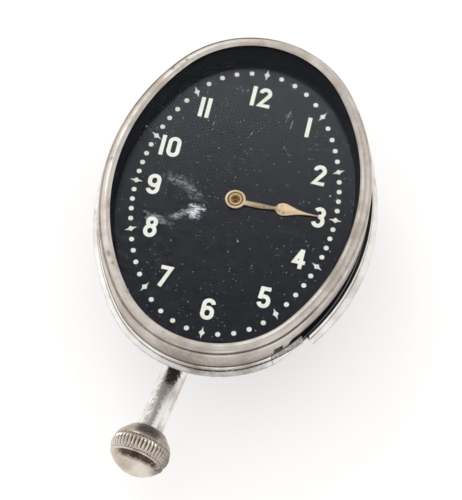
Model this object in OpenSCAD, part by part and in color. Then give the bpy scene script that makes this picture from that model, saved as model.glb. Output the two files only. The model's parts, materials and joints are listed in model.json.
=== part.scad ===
// Oval dashboard clock lying on its back: +Z is out of the dial, +Y is 12 o'clock, +X is 3 o'clock.
// The origin is the middle of the flat rear cover. All sizes are millimetres and degrees.
// Every oval is a four-centre 3:4:5 oval: the end centres lie 3k and the side centres 4k from the
// middle, so the side radius is the end radius plus 5k and parallel ovals keep the same centres.

/* [Case] */
// How far the bezel opening's half width lies outside the round cup
opening_margin = 2.8; // [2.4:0.1:4]
// How much longer the opening's half height is than its half width
oval_stretch = 10.9; // [9:0.1:13]
// Height of the dial face above the rear cover
dial_z = 30; // [29:0.5:36]
// Wall thickness of the case
case_wall = 1; // [0.8:0.1:1.4]
// Gap between the movement's back plate and the cup
movement_gap = 1.7; // [1.4:0.1:3]
// Depth of the shoulder's underside below the dial face
shoulder_drop = 6; // [5.5:0.1:6.6]
// Thickness of the shoulder that carries the movement
shoulder_t = 1.3; // [1:0.1:1.5]
// Thickness of the rear cover
cover_t = 1.2; // [1:0.1:1.6]
// Depth of the spigot that holds the rear cover in the cup
spigot_h = 2; // [1.5:0.1:3]

/* [Bezel and flange] */
// Height of the bezel's inner edge above the dial face
bezel_rise = 5.4; // [4.8:0.1:6.5]
// Height of the rim's crest above its inner edge
rim_crest = 0.5; // [0.3:0.05:0.9]
// Thickness of the bezel's skirt
skirt_t = 0.65; // [0.5:0.05:0.9]
// How far the flange reaches outside the skirt
flange_w = 1.6; // [1.4:0.05:2.4]
// Thickness of the flange ring
flange_t = 0.7; // [0.5:0.1:1]
// Height of the flange ring's inner seat, on which the bezel stands
bead_h = 0.5; // [0.3:0.1:0.8]
// Height of the flange ring's wall outside the bezel's skirt
wall_h = 1.9; // [1.2:0.1:2.4]
// How much larger the sprung lip's radius is than the flange's
lip_ease = 5.5; // [3:0.5:6]
// Width of the split between the sprung lip and the rest of the flange ring
split_w = 1.4; // [1:0.1:2]
// Width of the slot in the bezel's skirt
slot_w = 2.2; // [1.5:0.1:2.5]
// Height of the slot in the bezel's skirt
slot_h = 2.2; // [1.2:0.1:2.2]

/* [Glass and dial] */
// Thickness of the glass
glass_t = 1; // [0.8:0.1:1.2]
// Thickness of the dial
dial_t = 0.6; // [0.4:0.1:0.8]
// How far the minute track lies inside the bezel opening
track_inset = 4.6; // [4:0.1:6]
// Diameter of a minute dot
dot_d = 1.15; // [0.8:0.05:1.4]
// Length of an hour diamond
diamond_l = 2.9; // [2:0.1:3.4]
// Width of an hour diamond
diamond_w = 1.4; // [1:0.1:1.8]
// Thickness of the raised dial marks
mark_t = 0.08; // [0.05:0.01:0.15]
// Length of the hour hand from its centre
hand_l = 19.5; // [16:0.5:20]
// Thickness of the hour hand
hand_t = 0.4; // [0.3:0.05:0.6]
// Diameter of the hour hand's hub
hub_d = 4.8; // [4.4:0.1:6]
// Width of the hour hand's arm at the hub
arm_w = 1.3; // [1:0.1:1.8]
// Width of the hour hand's spade
spade_w = 3.2; // [2.4:0.1:4]

/* [Stem and crown] */
// Angle of the stem from 6 o'clock towards 7
stem_angle = 8.5; // [6:0.5:11]
// Depth of the stem's axis below the dial face
stem_drop = 17; // [16.5:0.1:17.6]
// Outer diameter of the stem tube
tube_d = 6; // [5.6:0.1:6.6]
// Bore of the stem tube
tube_bore = 4; // [3.6:0.1:4.4]
// Distance of the tube's outer end from the dial's axis
tube_end = 53.8; // [50:0.1:58]
// Diameter of the winding stem
stem_d = 2; // [1.8:0.1:2.2]
// Greatest diameter of the crown
crown_d = 13.8; // [12:0.1:16]
// Length of the crown
crown_l = 11; // [10:0.1:13]
// Length of the crown's knurled belt
belt_l = 4.3; // [3.6:0.1:5]
// Number of ribs on the crown's knurled belt
crown_ribs = 46; // [30:2:60]
// How far the crown pulls out to set the hand
pull_travel = 1.2; // [0.8:0.1:1.4]

/* [Movement] */
// Radius of the back plate
plate_r = 22.5; // [22:0.1:24]
// Thickness of the back plate
back_plate_t = 2; // [1.6:0.1:2.4]
// Thickness of the main plate
main_plate_t = 3.9; // [3.5:0.1:4.2]
// Diameter of a pillar
pillar_d = 3; // [2.4:0.1:3.4]
// Module of the barrel and centre pinion teeth
barrel_m = 0.255; // [0.245:0.005:0.265]
// Height of the mainspring barrel
barrel_h = 8; // [7:0.1:8.8]
// Module of the ratchet and crown wheel teeth
ratchet_m = 0.45; // [0.42:0.005:0.48]
// Module of the winding pinion teeth
winding_m = 0.4; // [0.38:0.005:0.42]
// Module of the centre wheel
centre_m = 0.25; // [0.24:0.005:0.27]
// Module of the third wheel
third_m = 0.22; // [0.21:0.005:0.23]
// Module of the fourth wheel
fourth_m = 0.18; // [0.17:0.005:0.19]
// Distance from the dial's axis to the minute wheel
minute_distance = 6; // [5.6:0.1:6.6]
// Radius of the escape wheel
escape_r = 3.2; // [2.9:0.1:3.5]
// Length of the pallet fork from its arbor
fork_l = 4.75; // [4.5:0.05:5]
// Radius of the balance wheel
balance_r = 4.6; // [4:0.1:4.9]

/* [Hidden] */
$fn = 96;

// Clearances
run_gap = 0.05;
seat_gap = 0.05;
rim_gap = 0.1;
end_shake = 0.2;
free_gap = 0.3;
over = 1;

// Ovals: the opening's half width, k, end radius and side radius
cup_bore_r = plate_r + movement_gap;
cup_r = cup_bore_r + case_wall;
opening_a = cup_r + opening_margin;
k = oval_stretch / 2;
end_r = opening_a - k;
side_r = end_r + 5 * k;
wedge_f = 4;

// Case walls as offsets from the bezel opening
rim_wall_in = 0.9;
rim_wall_out = rim_wall_in + case_wall;
seat_w = 1.2;
seat_in = rim_wall_in - seat_w;
ledge_out = rim_wall_out + 0.7;
dial_edge = rim_wall_in - 0.4;
glass_edge = rim_wall_out - 0.2;
skirt_in = rim_wall_out + rim_gap;
rim_w = skirt_in + skirt_t;
flange_reach = rim_w + flange_w;

// Levels through the case
shoulder_z = dial_z - shoulder_drop;
shoulder_top = shoulder_z + shoulder_t;
ledge_top = shoulder_top + case_wall;
flange_z = ledge_top + rim_gap;
flange_top = flange_z + flange_t;
bead_top = flange_top + bead_h;
bezel_z = bead_top + seat_gap;
lip_z = dial_z + bezel_rise;
glass_top = lip_z - 2 * seat_gap;
glass_z = glass_top - glass_t;
rim_wall_top = glass_z - 2 * rim_gap;
dial_back = dial_z - dial_t;

// Movement plates: the main plate's flange lies on the shoulder
plate_flange_t = 1;
plate_flange_w = 1.6;
main_top = shoulder_top + plate_flange_t;
main_z = main_top - main_plate_t;

// Stem and crown, measured outward along the stem from the dial's axis
stem_z = dial_z - stem_drop;
stem_heading = -90 - stem_angle;
stem_r = stem_d / 2;
stem_bore_r = stem_r + run_gap;
tube_r = tube_d / 2;
tube_start = cup_bore_r - 0.5;
boss_l = 3;
boss_wall = 1.5;
crown_recess = pull_travel - rim_gap;
crown_back = tube_end - crown_recess;
crown_r = crown_d / 2;
crown_bore_l = 4;
belt_from = 3;
belt_to = belt_from + belt_l;
rib_h = 0.4;
rib_wall = 0.4;
crown_lip = belt_to + 0.9;
sleeve_from = tube_end - 11;
sleeve_l = 3.4;
collar_w = 0.8;
collar_r = (stem_r + tube_bore / 2) / 2;

// Tooth form, as shares of the module and of the pitch
addendum = 0.8;
dedendum = 1.1;
root_share = 0.5;
tip_share = 0.22;

// Tooth counts
barrel_n = 80;
centre_pinion_n = 10;
centre_n = 64;
leaf_n = 8;
third_n = 60;
fourth_n = 64;
escape_n = 15;
ratchet_n = 40;
crown_wheel_n = 30;
winding_n = 12;
cannon_n = 12;
minute_n = 36;
minute_pinion_n = 10;
hour_n = 40;
cannon_m = 2 * minute_distance / (cannon_n + minute_n);
hour_m = 2 * minute_distance / (minute_pinion_n + hour_n);

// Arbor places in plan
function polar(r, a) = [r * cos(a), r * sin(a)];
function heading(p, q) = atan2(q[1] - p[1], q[0] - p[0]);
function mesh_distance(n, m, q) = m * (n + q) / 2;
function tip_r(n, m) = m * (n / 2 + addendum);
winding_r = winding_n * winding_m / 2;
contrate_r = crown_wheel_n * winding_m / 2;
crown_wheel_rho = 11;
crown_wheel_p = polar(crown_wheel_rho, stem_heading);
barrel_d = mesh_distance(barrel_n, barrel_m, centre_pinion_n);
ratchet_d = mesh_distance(ratchet_n, ratchet_m, crown_wheel_n);
barrel_turn = acos((crown_wheel_rho ^ 2 + barrel_d ^ 2 - ratchet_d ^ 2) / (2 * crown_wheel_rho * barrel_d));
barrel_p = polar(barrel_d, stem_heading + barrel_turn);
centre_p = [0, 0];
third_heading = 135;
fourth_heading = 200;
escape_turn = 260;
pallet_heading = -62;
third_p = polar(mesh_distance(centre_n, centre_m, leaf_n), third_heading);
fourth_p = third_p + polar(mesh_distance(third_n, third_m, leaf_n), fourth_heading);
escape_p = fourth_p + polar(mesh_distance(fourth_n, fourth_m, leaf_n), escape_turn);
pallet_d = escape_r + 0.7;
pallet_p = escape_p + polar(pallet_d, pallet_heading);
pin_r = 0.15;
pin_rho = 0.9;
fork_dip = 0.05;
balance_p = pallet_p + polar(fork_l + pin_rho - fork_dip, pallet_heading);
minute_p = polar(minute_distance, 60);
click_d = tip_r(ratchet_n, ratchet_m) + 3;
click_p = barrel_p + polar(click_d, 62);
pillar_rho = plate_r - 2.2;
pillar_p = [for (a = [45, 135, 248, 315]) polar(pillar_rho, a)];
foot_r = 0.8;
foot_p = [for (a = [90, 222, 318]) polar(plate_r - 0.5, a)];

// Levels of the wheels: the winding work hangs from the stem's level, the back plate under it
winding_low = stem_z - winding_r;
contrate_top = winding_low + addendum * winding_m;
crown_wheel_top = winding_low - (dedendum + 0.1) * winding_m;
crown_wheel_t = 0.9;
crown_wheel_z = crown_wheel_top - crown_wheel_t;
ratchet_z = crown_wheel_z;
ratchet_t = crown_wheel_t - rim_gap;
back_top = crown_wheel_z - end_shake;
back_z = back_top - back_plate_t;
plate_gap = main_z - back_top;
barrel_z = contrate_top + free_gap;
barrel_teeth_h = 1.2;
barrel_top = barrel_z + barrel_h;
barrel_r = barrel_n * barrel_m / 2 - 4 * barrel_m;
barrel_wall = 0.8;
lid_t = 0.8;
floor_t = 1;
wheel_t = 0.6;
pinion_t = 1;
level_step = 2.2;
centre_wheel_z = barrel_top + 0.9;
third_wheel_z = centre_wheel_z - level_step - wheel_t;
fourth_wheel_z = third_wheel_z - level_step;
escape_wheel_z = fourth_wheel_z - level_step;
balance_z = fourth_wheel_z + pinion_t;
balance_t = 1;
balance_rim = 0.7;
roller_r = 1.2;
hairspring_z = balance_z + level_step;
hairspring_r = 3;
hairspring_h = 0.4;

// Arbors, posts and screws
arbor_r = 0.5;
pivot_r = 0.3;
pivot_l = 1;
centre_arbor_r = 0.75;
barrel_arbor_r = 1.25;
arbor_hub_r = 2.4;
post_r = 0.6;
stud_r = 1.2;
screw_r = 1.3;
screw_h = 1.1;
screw_slot = 0.4;
screw_head_h = 0.5;
bracket_l = 2;
bracket_w = 3.5;
bracket_rho = crown_wheel_rho + contrate_r - 3.6;
pinion_rho = crown_wheel_rho + contrate_r - 0.8;
pinion_l = 2;
contrate_w = 0.4;
contrate_l = 0.9;

// Motion work above the main plate
motion_t = 0.7;
minute_z = main_top + end_shake;
hour_z = minute_z + motion_t + free_gap;
motion_top = hour_z + motion_t;
cannon_r = 1.38;
cannon_bore_r = centre_arbor_r + run_gap;
hour_bore_r = cannon_r + run_gap;
hour_pipe_r = hour_bore_r + 0.4;
hand_z = dial_z + 0.25;
hand_top = hand_z + hand_t;
centre_arbor_top = hand_top - 1.5;

// A prism over the whole height, from its plan
module wedge(points) {
  translate([0, 0, -over]) linear_extrude(lip_z + rim_crest + 2 * over) polygon(points);
}

module end_arc() {
  far = 3 * k * (1 + wedge_f);
  intersection() {
    translate([0, 3 * k, 0]) rotate_extrude() translate([end_r, 0]) children();
    wedge([[0, 3 * k], [4 * k * wedge_f, far], [-4 * k * wedge_f, far]]);
  }
}

module side_arc() {
  far = 3 * k * (1 + wedge_f);
  intersection() {
    translate([-4 * k, 0, 0]) rotate_extrude() translate([side_r, 0]) children();
    wedge([[-4 * k, 0], [4 * k * wedge_f, -far], [4 * k * wedge_f, far]]);
  }
}

// A profile of offset and height swept along the whole oval
module oval_sweep() {
  for (turn = [0, 180]) rotate(turn) {
    end_arc() children();
    side_arc() children();
  }
}

// The area of the oval that lies offset_d outside the bezel opening
module oval_area(offset_d) {
  r = end_r + offset_d;
  big = side_r + offset_d;
  tie_y = 3 * k + 0.6 * r;
  intersection() {
    translate([-4 * k, 0]) circle(big);
    translate([4 * k, 0]) circle(big);
    square([2 * big, 2 * tie_y], center = true);
  }
  for (s = [-1, 1]) translate([0, s * 3 * k]) circle(r);
}

module oval_plate(offset_d, z, t) {
  translate([0, 0, z]) linear_extrude(t) oval_area(offset_d);
}

// Distance from the middle to the minute track at a clock angle
function track_rho(a) =
  let (s = abs(sin(a)), c = abs(cos(a)), r = end_r - track_inset, big = r + 5 * k)
  atan2(s, c) < atan2(0.8 * r, 3 * k + 0.6 * r)
    ? 3 * k * c + sqrt(r ^ 2 - (3 * k * s) ^ 2)
    : -4 * k * s + sqrt(big ^ 2 - (4 * k * c) ^ 2);

// The stem's frame: children are drawn with the stem's axis along +Z from the dial's axis outward
module on_stem(rho) {
  translate([0, 0, stem_z]) rotate(stem_heading) rotate([0, 90, 0]) translate([0, 0, rho]) children();
}

module at(p, z = 0) {
  translate([p[0], p[1], z]) children();
}

module hole(r, t) {
  translate([0, 0, -over]) cylinder(h = t + 2 * over, r = r);
}

module pipe(r, bore, h) {
  difference() {
    cylinder(h = h, r = r);
    hole(bore, h);
  }
}

// Toothed outlines
function gear_points(n, m, phase) =
  let (root = m * (n / 2 - dedendum), tip = tip_r(n, m), step = 360 / n)
  [for (i = [0:n - 1], c = [[-root_share, root], [-tip_share, tip], [tip_share, tip], [root_share, root]])
    polar(c[1], phase + (i + c[0] / 2) * step)];

// A tooth of the driver points at the driven wheel, which has a gap there
function driver_phase(p, q) = heading(p, q);
function driven_phase(p, q, n) = heading(q, p) + 180 / n;

module gear(n, m, phase, t) {
  linear_extrude(t) polygon(gear_points(n, m, phase));
}

module spoked_gear(n, m, phase, t, rim, hub, spokes) {
  inner = m * (n / 2 - dedendum) - rim;
  linear_extrude(t) difference() {
    polygon(gear_points(n, m, phase));
    difference() {
      circle(inner);
      circle(hub);
      for (i = [0:spokes - 1]) rotate(i * 360 / spokes) translate([0, -rim / 2]) square([inner + rim, rim]);
    }
  }
}

// An arbor with a pivot at each plate
module arbor() {
  low = back_top + run_gap;
  span = plate_gap - 2 * run_gap;
  translate([0, 0, low]) cylinder(h = span, r = arbor_r);
  translate([0, 0, low - pivot_l]) cylinder(h = span + 2 * pivot_l, r = pivot_r);
}

module pivot_holes(z, t) {
  for (p = [third_p, fourth_p, escape_p, pallet_p, balance_p])
    at(p, z) cylinder(h = t, r = pivot_r + run_gap);
}

// Points of a flat spiral strip: out along one face and back along the other
function spiral_points(r0, r1, turns, w, steps) =
  let (path = [for (i = [0:steps]) [r0 + (r1 - r0) * i / steps, 360 * turns * i / steps]])
  concat([for (p = path) polar(p[0] + w / 2, p[1])],
         [for (i = [steps:-1:0]) polar(path[i][0] - w / 2, path[i][1])]);

// Case: an oval pan with a seat for the dial, drawn down into a round cup
module case_body() color("#1b1b1d") difference() {
  union() {
    oval_sweep() polygon([
      [seat_in, shoulder_z], [ledge_out, shoulder_z], [ledge_out, ledge_top], [rim_wall_out, ledge_top],
      [rim_wall_out, rim_wall_top], [rim_wall_in, rim_wall_top], [rim_wall_in, dial_back],
      [seat_in, dial_back]
    ]);
    oval_plate(rim_wall_in, shoulder_z, shoulder_t);
    translate([0, 0, cover_t]) cylinder(h = shoulder_top - cover_t, r = cup_r);
  }
  translate([0, 0, cover_t]) hole(cup_bore_r, shoulder_top - cover_t);
  on_stem(tube_start - over) cylinder(h = cup_r - tube_start + 2 * over, r = tube_r + run_gap);
}

module rear_cover() color("#8d8577") {
  spigot_r = cup_bore_r - run_gap;
  cylinder(h = cover_t, r = cup_r);
  translate([0, 0, cover_t]) pipe(spigot_r, spigot_r - case_wall, spigot_h);
}

// Bezel: rolled rim, groove and a slightly hollow skirt, cut away along the sprung lip
edge_roll = 0.15;
groove_d = 0.25;
groove_h = 0.45;
skirt_hollow = 0.05;
window_rise = 3.4;
window_curve = 1.2;
window_lead = 5;
window_turn = -39.5;
window_end = 2.2;
window_steps = 8;
slot_turn = -46;
slot_up = 1.3;

module bezel_profile() {
  crest = lip_z + rim_crest;
  groove_z = lip_z - 0.4;
  polygon([
    [0, lip_z], [edge_roll / 2, lip_z + edge_roll], [0.35 * rim_w, crest - edge_roll],
    [0.57 * rim_w, crest], [0.83 * rim_w, crest - edge_roll], [rim_w - skirt_hollow, lip_z + edge_roll],
    [rim_w, groove_z + groove_h / 2], [rim_w - groove_d, groove_z], [rim_w, groove_z - groove_h / 2],
    [rim_w - skirt_hollow, (lip_z + bezel_z) / 2], [rim_w, bezel_z], [skirt_in, bezel_z], [skirt_in, lip_z]
  ]);
}

module bezel() color("#b9b0a2") difference() {
  window_from = (side_r + rim_w) * sin(window_lead);
  window_stop = (end_r + rim_w) * sin(window_turn) - 3 * k;
  window_to = window_stop + window_end;
  oval_sweep() bezel_profile();
  translate([opening_a / 2, 0, 0]) rotate([90, 0, 90]) linear_extrude(opening_a) polygon(concat(
    [for (i = [0:window_steps]) let (t = i / window_steps)
      [window_from + t * (window_to - window_from), bezel_z + window_rise * t ^ window_curve]],
    [[window_stop, bezel_z + window_rise / 2], [window_stop, bezel_z - over], [window_from, bezel_z - over]]
  ));
  translate([0, -3 * k, bezel_z + slot_up]) rotate(slot_turn) translate([end_r, -slot_w / 2, 0])
    cube([flange_reach, slot_w, slot_h]);
}

// Flange ring: a split spring ring with a low wall, whose lower right arm has sprung away from the bezel
lip_dir = [0.96, 0.28];
lip_far = [-4 * k, 0] + 4 * opening_a * lip_dir;
lip_r = side_r + lip_ease;
lip_centre = [-4 * k, 0] - lip_ease * lip_dir;
lip_end = -28.5;
lip_stop = lip_centre + polar(lip_r, lip_end);
tongue_end = heading([-4 * k, 0], lip_stop) - atan(split_w / side_r);
seat_step = 0.1;
wall_t = 0.3;

module flange_profile() {
  inner = rim_wall_out + seat_gap;
  inner_z = flange_z + seat_step;
  seat_from = ledge_out + rim_gap;
  wall_in = rim_w + rim_gap;
  wall_out = wall_in + wall_t;
  polygon([
    [inner, inner_z], [seat_from, inner_z], [seat_from, flange_z], [flange_reach, flange_z],
    [flange_reach, flange_top - rim_gap], [flange_reach - rim_gap, flange_top], [wall_out, flange_top],
    [wall_out, flange_top + wall_h], [wall_in, flange_top + wall_h], [wall_in, bead_top], [inner, bead_top]
  ]);
}

module flange_ring() color("#cfc8bc") {
  wide = 6 * opening_a;
  end_arc() flange_profile();
  rotate(180) side_arc() flange_profile();
  rotate(180) end_arc() flange_profile();
  intersection() {
    side_arc() flange_profile();
    wedge([[-4 * k, 0], lip_far, [lip_far[0], wide], [-4 * k, wide]]);
  }
  intersection() {
    side_arc() flange_profile();
    wedge([[-4 * k, 0], [-4 * k, -wide], [-4 * k, 0] + polar(wide, tongue_end)]);
  }
  intersection() {
    at(lip_centre) rotate_extrude() translate([lip_r, 0]) flange_profile();
    wedge([lip_centre, lip_far, [lip_far[0], -wide], lip_centre + polar(wide, lip_end)]);
  }
}

module crystal() color("#dfe8ea", 0.4) oval_plate(glass_edge, glass_z, glass_t);

// Black reflector ring between the dial and the glass
ring_foot = -0.9;
ring_edge = 0.1;
module dial_ring() color("#141516") oval_sweep()
  polygon([[ring_foot, dial_z], [dial_edge, dial_z], [dial_edge, glass_z], [ring_edge, glass_z]]);

module dial() color("#191a1e") {
  foot_l = dial_back - main_top + over;
  difference() {
    oval_plate(dial_edge, dial_back, dial_t);
    translate([0, 0, dial_back]) hole(hour_pipe_r + free_gap, dial_t);
  }
  for (p = foot_p) at(p, main_top - over) cylinder(h = foot_l, r = foot_r);
}

// An hour mark: a diamond with hollow sides
module diamond() {
  waist_x = 0.15 * diamond_w;
  waist_y = 0.2 * diamond_l;
  corners = [[0, diamond_l / 2], [waist_x, waist_y], [diamond_w / 2, 0], [waist_x, -waist_y]];
  polygon([for (s = [1, -1], c = corners) s * c]);
}

module minute_markers() color("#e9e6d6") {
  for (i = [0:59]) rotate(-6 * i) translate([0, track_rho(6 * i), dial_z]) {
    if (i % 5 == 0) linear_extrude(mark_t) diamond();
    else cylinder(h = mark_t, d = dot_d, $fn = 24);
  }
}

// Hour hand: hub, slim arm and a long pear-shaped spade that runs out into a thin tip
pear_x = 0.5 * hand_l;
tip_w = 0.24;
pear_steps = 20;
function pear_half(t) = tip_w / 2 + (spade_w - tip_w) / 2 * max(sin(180 * t ^ 0.42), 0) ^ 1.6;
function hand_side(s) = concat(
  [[0, s * arm_w / 2], [0.9 * pear_x, s * 0.3 * arm_w]],
  [for (i = [1:pear_steps]) [pear_x + (hand_l - pear_x) * i / pear_steps, s * pear_half(i / pear_steps)]]
);

module hour_hand() color("#cdb184") translate([0, 0, hand_z]) difference() {
  union() {
    cylinder(h = hand_t, r = hub_d / 2);
    linear_extrude(hand_t) polygon(concat(hand_side(1), [for (i = [pear_steps + 1:-1:0]) hand_side(-1)[i]]));
  }
  hole(hour_pipe_r, hand_t);
}

// Motion work
module hour_wheel() color("#c2a060") translate([0, 0, hour_z]) difference() {
  union() {
    gear(hour_n, hour_m, driven_phase(minute_p, centre_p, hour_n), motion_t);
    cylinder(h = hand_top - hour_z, r = hour_pipe_r);
  }
  hole(hour_bore_r, hand_top - hour_z);
}

module minute_wheel() color("#c2a060") at(minute_p, minute_z) difference() {
  union() {
    gear(minute_n, cannon_m, driven_phase(centre_p, minute_p, minute_n), motion_t);
    gear(minute_pinion_n, hour_m, driver_phase(minute_p, centre_p), motion_top - minute_z);
  }
  hole(post_r + run_gap, motion_top - minute_z);
}

module minute_post() color("#9aa0a6") at(minute_p, main_top - over)
  cylinder(h = over + motion_top - main_top, r = post_r);

module cannon_pinion() color("#a8a294") translate([0, 0, minute_z]) difference() {
  union() {
    gear(cannon_n, cannon_m, driver_phase(centre_p, minute_p), motion_t);
    translate([0, 0, motion_t]) cylinder(h = hand_top - minute_z - motion_t, r = cannon_r);
  }
  hole(cannon_bore_r, hand_top - minute_z);
}

// Plates
module main_plate() color("#b58f4a") difference() {
  union() {
    translate([0, 0, main_z]) cylinder(h = main_plate_t, r = cup_bore_r - rim_gap);
    translate([0, 0, shoulder_top]) cylinder(h = plate_flange_t, r = cup_r + plate_flange_w);
  }
  translate([0, 0, main_z]) hole(centre_arbor_r + run_gap, main_plate_t);
  at(barrel_p, main_z - over) cylinder(h = over + pivot_l + free_gap, r = barrel_arbor_r + run_gap);
  at(minute_p, main_top - over) cylinder(h = 2 * over, r = post_r);
  for (p = foot_p) at(p, main_top - over) cylinder(h = 2 * over, r = foot_r);
  pivot_holes(main_z - over, over + pivot_l + free_gap);
}

module back_plate() color("#b58f4a") difference() {
  translate([0, 0, back_z]) cylinder(h = back_plate_t, r = plate_r);
  translate([0, 0, back_z]) hole(centre_arbor_r + run_gap, back_plate_t);
  at(barrel_p, back_z) hole(barrel_arbor_r + run_gap, back_plate_t);
  for (p = concat([crown_wheel_p, click_p], pillar_p)) at(p, back_z) hole(post_r, back_plate_t);
  pivot_holes(back_z - over, back_plate_t + 2 * over);
}

module pillars() color("#c9a868") for (p = pillar_p) at(p, back_top) difference() {
  cylinder(h = plate_gap, d = pillar_d);
  hole(post_r, over);
}

module plate_screws() color("#6d7480") for (p = pillar_p) at(p, back_z) difference() {
  union() {
    translate([0, 0, -screw_h]) cylinder(h = screw_h, r = screw_r);
    cylinder(h = back_plate_t + over, r = post_r);
  }
  translate([0, 0, -screw_h]) cube([3 * screw_r, screw_slot, screw_h], center = true);
}

// A shouldered screw in the back plate on which a wheel or click turns
module shoulder_screw(p, r, top, head_r) {
  at(p, back_z) cylinder(h = back_plate_t, r = post_r);
  at(p, back_top) cylinder(h = top + run_gap - back_top, r = r);
  at(p, top + run_gap) cylinder(h = screw_head_h, r = head_r);
}

// Barrel and winding work
module barrel() color("#c2a060") at(barrel_p, barrel_z) difference() {
  union() {
    cylinder(h = barrel_h, r = barrel_r);
    gear(barrel_n, barrel_m, driver_phase(barrel_p, centre_p), barrel_teeth_h);
  }
  translate([0, 0, floor_t]) cylinder(h = barrel_h, r = barrel_r - barrel_wall);
  hole(barrel_arbor_r + run_gap, floor_t);
}

module barrel_lid() color("#c2a060") at(barrel_p, barrel_top - lid_t)
  pipe(barrel_r - barrel_wall, barrel_arbor_r + run_gap, lid_t);

module barrel_arbor() color("#8a9098") {
  hub_z = barrel_z + floor_t + end_shake;
  at(barrel_p, back_z) cylinder(h = main_z - back_z + pivot_l, r = barrel_arbor_r);
  at(barrel_p, hub_z) cylinder(h = barrel_top - lid_t - end_shake - hub_z, r = arbor_hub_r);
}

module mainspring() color("#5f6a78") at(barrel_p, barrel_z + floor_t + end_shake)
  linear_extrude(barrel_h - floor_t - lid_t - 2 * end_shake)
    polygon(spiral_points(arbor_hub_r + free_gap, barrel_r - barrel_wall - free_gap, 5, free_gap, 100));

ratchet_phase = driven_phase(crown_wheel_p, barrel_p, ratchet_n);
module ratchet_wheel() color("#8a9098") at(barrel_p, ratchet_z) difference() {
  gear(ratchet_n, ratchet_m, ratchet_phase, ratchet_t);
  hole(barrel_arbor_r, ratchet_t);
}

// Crown wheel: spur teeth for the ratchet wheel and upright teeth for the winding pinion
module crown_wheel() color("#8a9098") at(crown_wheel_p, crown_wheel_z) difference() {
  step = 360 / crown_wheel_n;
  foot_z = crown_wheel_t - rim_gap / 2;
  union() {
    gear(crown_wheel_n, ratchet_m, driver_phase(crown_wheel_p, barrel_p), crown_wheel_t);
    for (i = [0:crown_wheel_n - 1]) rotate(stem_heading + (i + 0.5) * step)
      translate([contrate_r - contrate_l, -contrate_w / 2, foot_z])
        cube([contrate_l, contrate_w, contrate_top - crown_wheel_z - foot_z]);
  }
  hole(stud_r + run_gap, crown_wheel_t);
}

module crown_wheel_screw() color("#6d7480")
  shoulder_screw(crown_wheel_p, stud_r, crown_wheel_top, stud_r + 2 * screw_slot);

// Click: a pivoted pawl, drawn as it rides over the tip of a ratchet tooth
click_r = 1.5;
click_bore_r = 1;
click_heading = heading(click_p, barrel_p);
beak_turn = 4;
beak_r = tip_r(ratchet_n, ratchet_m) + run_gap;
click_beak = barrel_p - click_p + polar(beak_r, heading(barrel_p, click_p) + beak_turn);

module click() color("#8a9098") at(click_p, ratchet_z) difference() {
  union() {
    cylinder(h = ratchet_t, r = click_r);
    linear_extrude(ratchet_t) polygon([
      polar(click_r - rim_gap, click_heading + 100), click_beak + polar(rim_gap, click_heading + 90),
      click_beak + polar(rim_gap, click_heading - 90), polar(click_r - rim_gap, click_heading - 60)
    ]);
  }
  hole(click_bore_r + run_gap, ratchet_t);
}

module click_screw() color("#6d7480")
  shoulder_screw(click_p, click_bore_r, ratchet_z + ratchet_t, click_bore_r + screw_slot);

click_spring_l = 4;
click_spring_w = 0.25;
click_foot = 0.8;
module click_spring() color("#5f6a78") at(click_p, back_top) rotate(click_heading - 100)
  translate([click_r + end_shake, click_foot - click_spring_l, 0]) {
    cube([click_spring_w, click_spring_l, ratchet_t]);
    cube([2 * click_foot, click_foot, ratchet_t]);
  }

module winding_pinion() color("#8a9098") on_stem(pinion_rho) difference() {
  gear(winding_n, winding_m, 0, pinion_l);
  hole(stem_bore_r, pinion_l);
}

// Bracket under the main plate that carries the stem's inner end
module stem_bracket() color("#b58f4a") difference() {
  drop = bracket_w / 2;
  translate([0, 0, stem_z]) rotate(stem_heading) translate([bracket_rho, -bracket_w / 2, -drop])
    cube([bracket_l, bracket_w, main_z - stem_z + drop]);
  on_stem(bracket_rho) hole(stem_bore_r, bracket_l);
}

module winding_stem() color("#a9adb3") {
  from = bracket_rho + end_shake;
  on_stem(from) cylinder(h = crown_back + crown_bore_l - from, r = stem_r);
  for (rho = [sleeve_from - rim_gap - collar_w, sleeve_from + sleeve_l + rim_gap])
    on_stem(rho) cylinder(h = collar_w, r = collar_r);
}

module stem_sleeve() color("#c2a060") on_stem(sleeve_from)
  pipe(tube_bore / 2 - run_gap, stem_bore_r, sleeve_l);

// Crown: a ball-shaped knob with a ribbed belt, a raised lip and a smooth domed face
module crown() color("#bdb5a8") on_stem(crown_back) {
  root = crown_r - rib_h;
  recess_r = tube_r + run_gap + rim_gap;
  recess_z = crown_recess + 4 * rim_gap;
  dome = crown_l - crown_lip;
  rotate_extrude() polygon([
    [stem_r, recess_z], [recess_r, recess_z], [recess_r, 0], [recess_r + rib_wall, 0],
    [0.72 * crown_r, 0.3 * belt_from], [0.88 * crown_r, 0.66 * belt_from], [root, belt_from],
    [root, belt_to + rib_h], [crown_r, crown_lip], [crown_r, crown_lip + rib_h],
    [0.93 * crown_r, crown_lip + 0.35 * dome], [0.74 * crown_r, crown_lip + 0.7 * dome],
    [0.45 * crown_r, crown_lip + 0.91 * dome], [0, crown_l], [0, crown_bore_l], [stem_r, crown_bore_l]
  ]);
  translate([0, 0, belt_from]) linear_extrude(belt_l) difference() {
    polygon([
      for (i = [0:crown_ribs - 1], c = [[-0.3, root], [-0.18, crown_r], [0.18, crown_r], [0.3, root]])
        polar(c[1], (i + c[0]) * 360 / crown_ribs)
    ]);
    circle(root - rib_wall);
  }
}

module stem_tube() color("#c8c4bc") on_stem(tube_start) pipe(tube_r, tube_bore / 2, tube_end - tube_start);

// Boss on the cup's wall that holds the tube
module tube_boss() color("#1b1b1d") difference() {
  on_stem(cup_bore_r) pipe(tube_r + boss_wall, tube_r + run_gap, case_wall + boss_l);
  translate([0, 0, cover_t]) cylinder(h = dial_z, r = cup_r);
}

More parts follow.
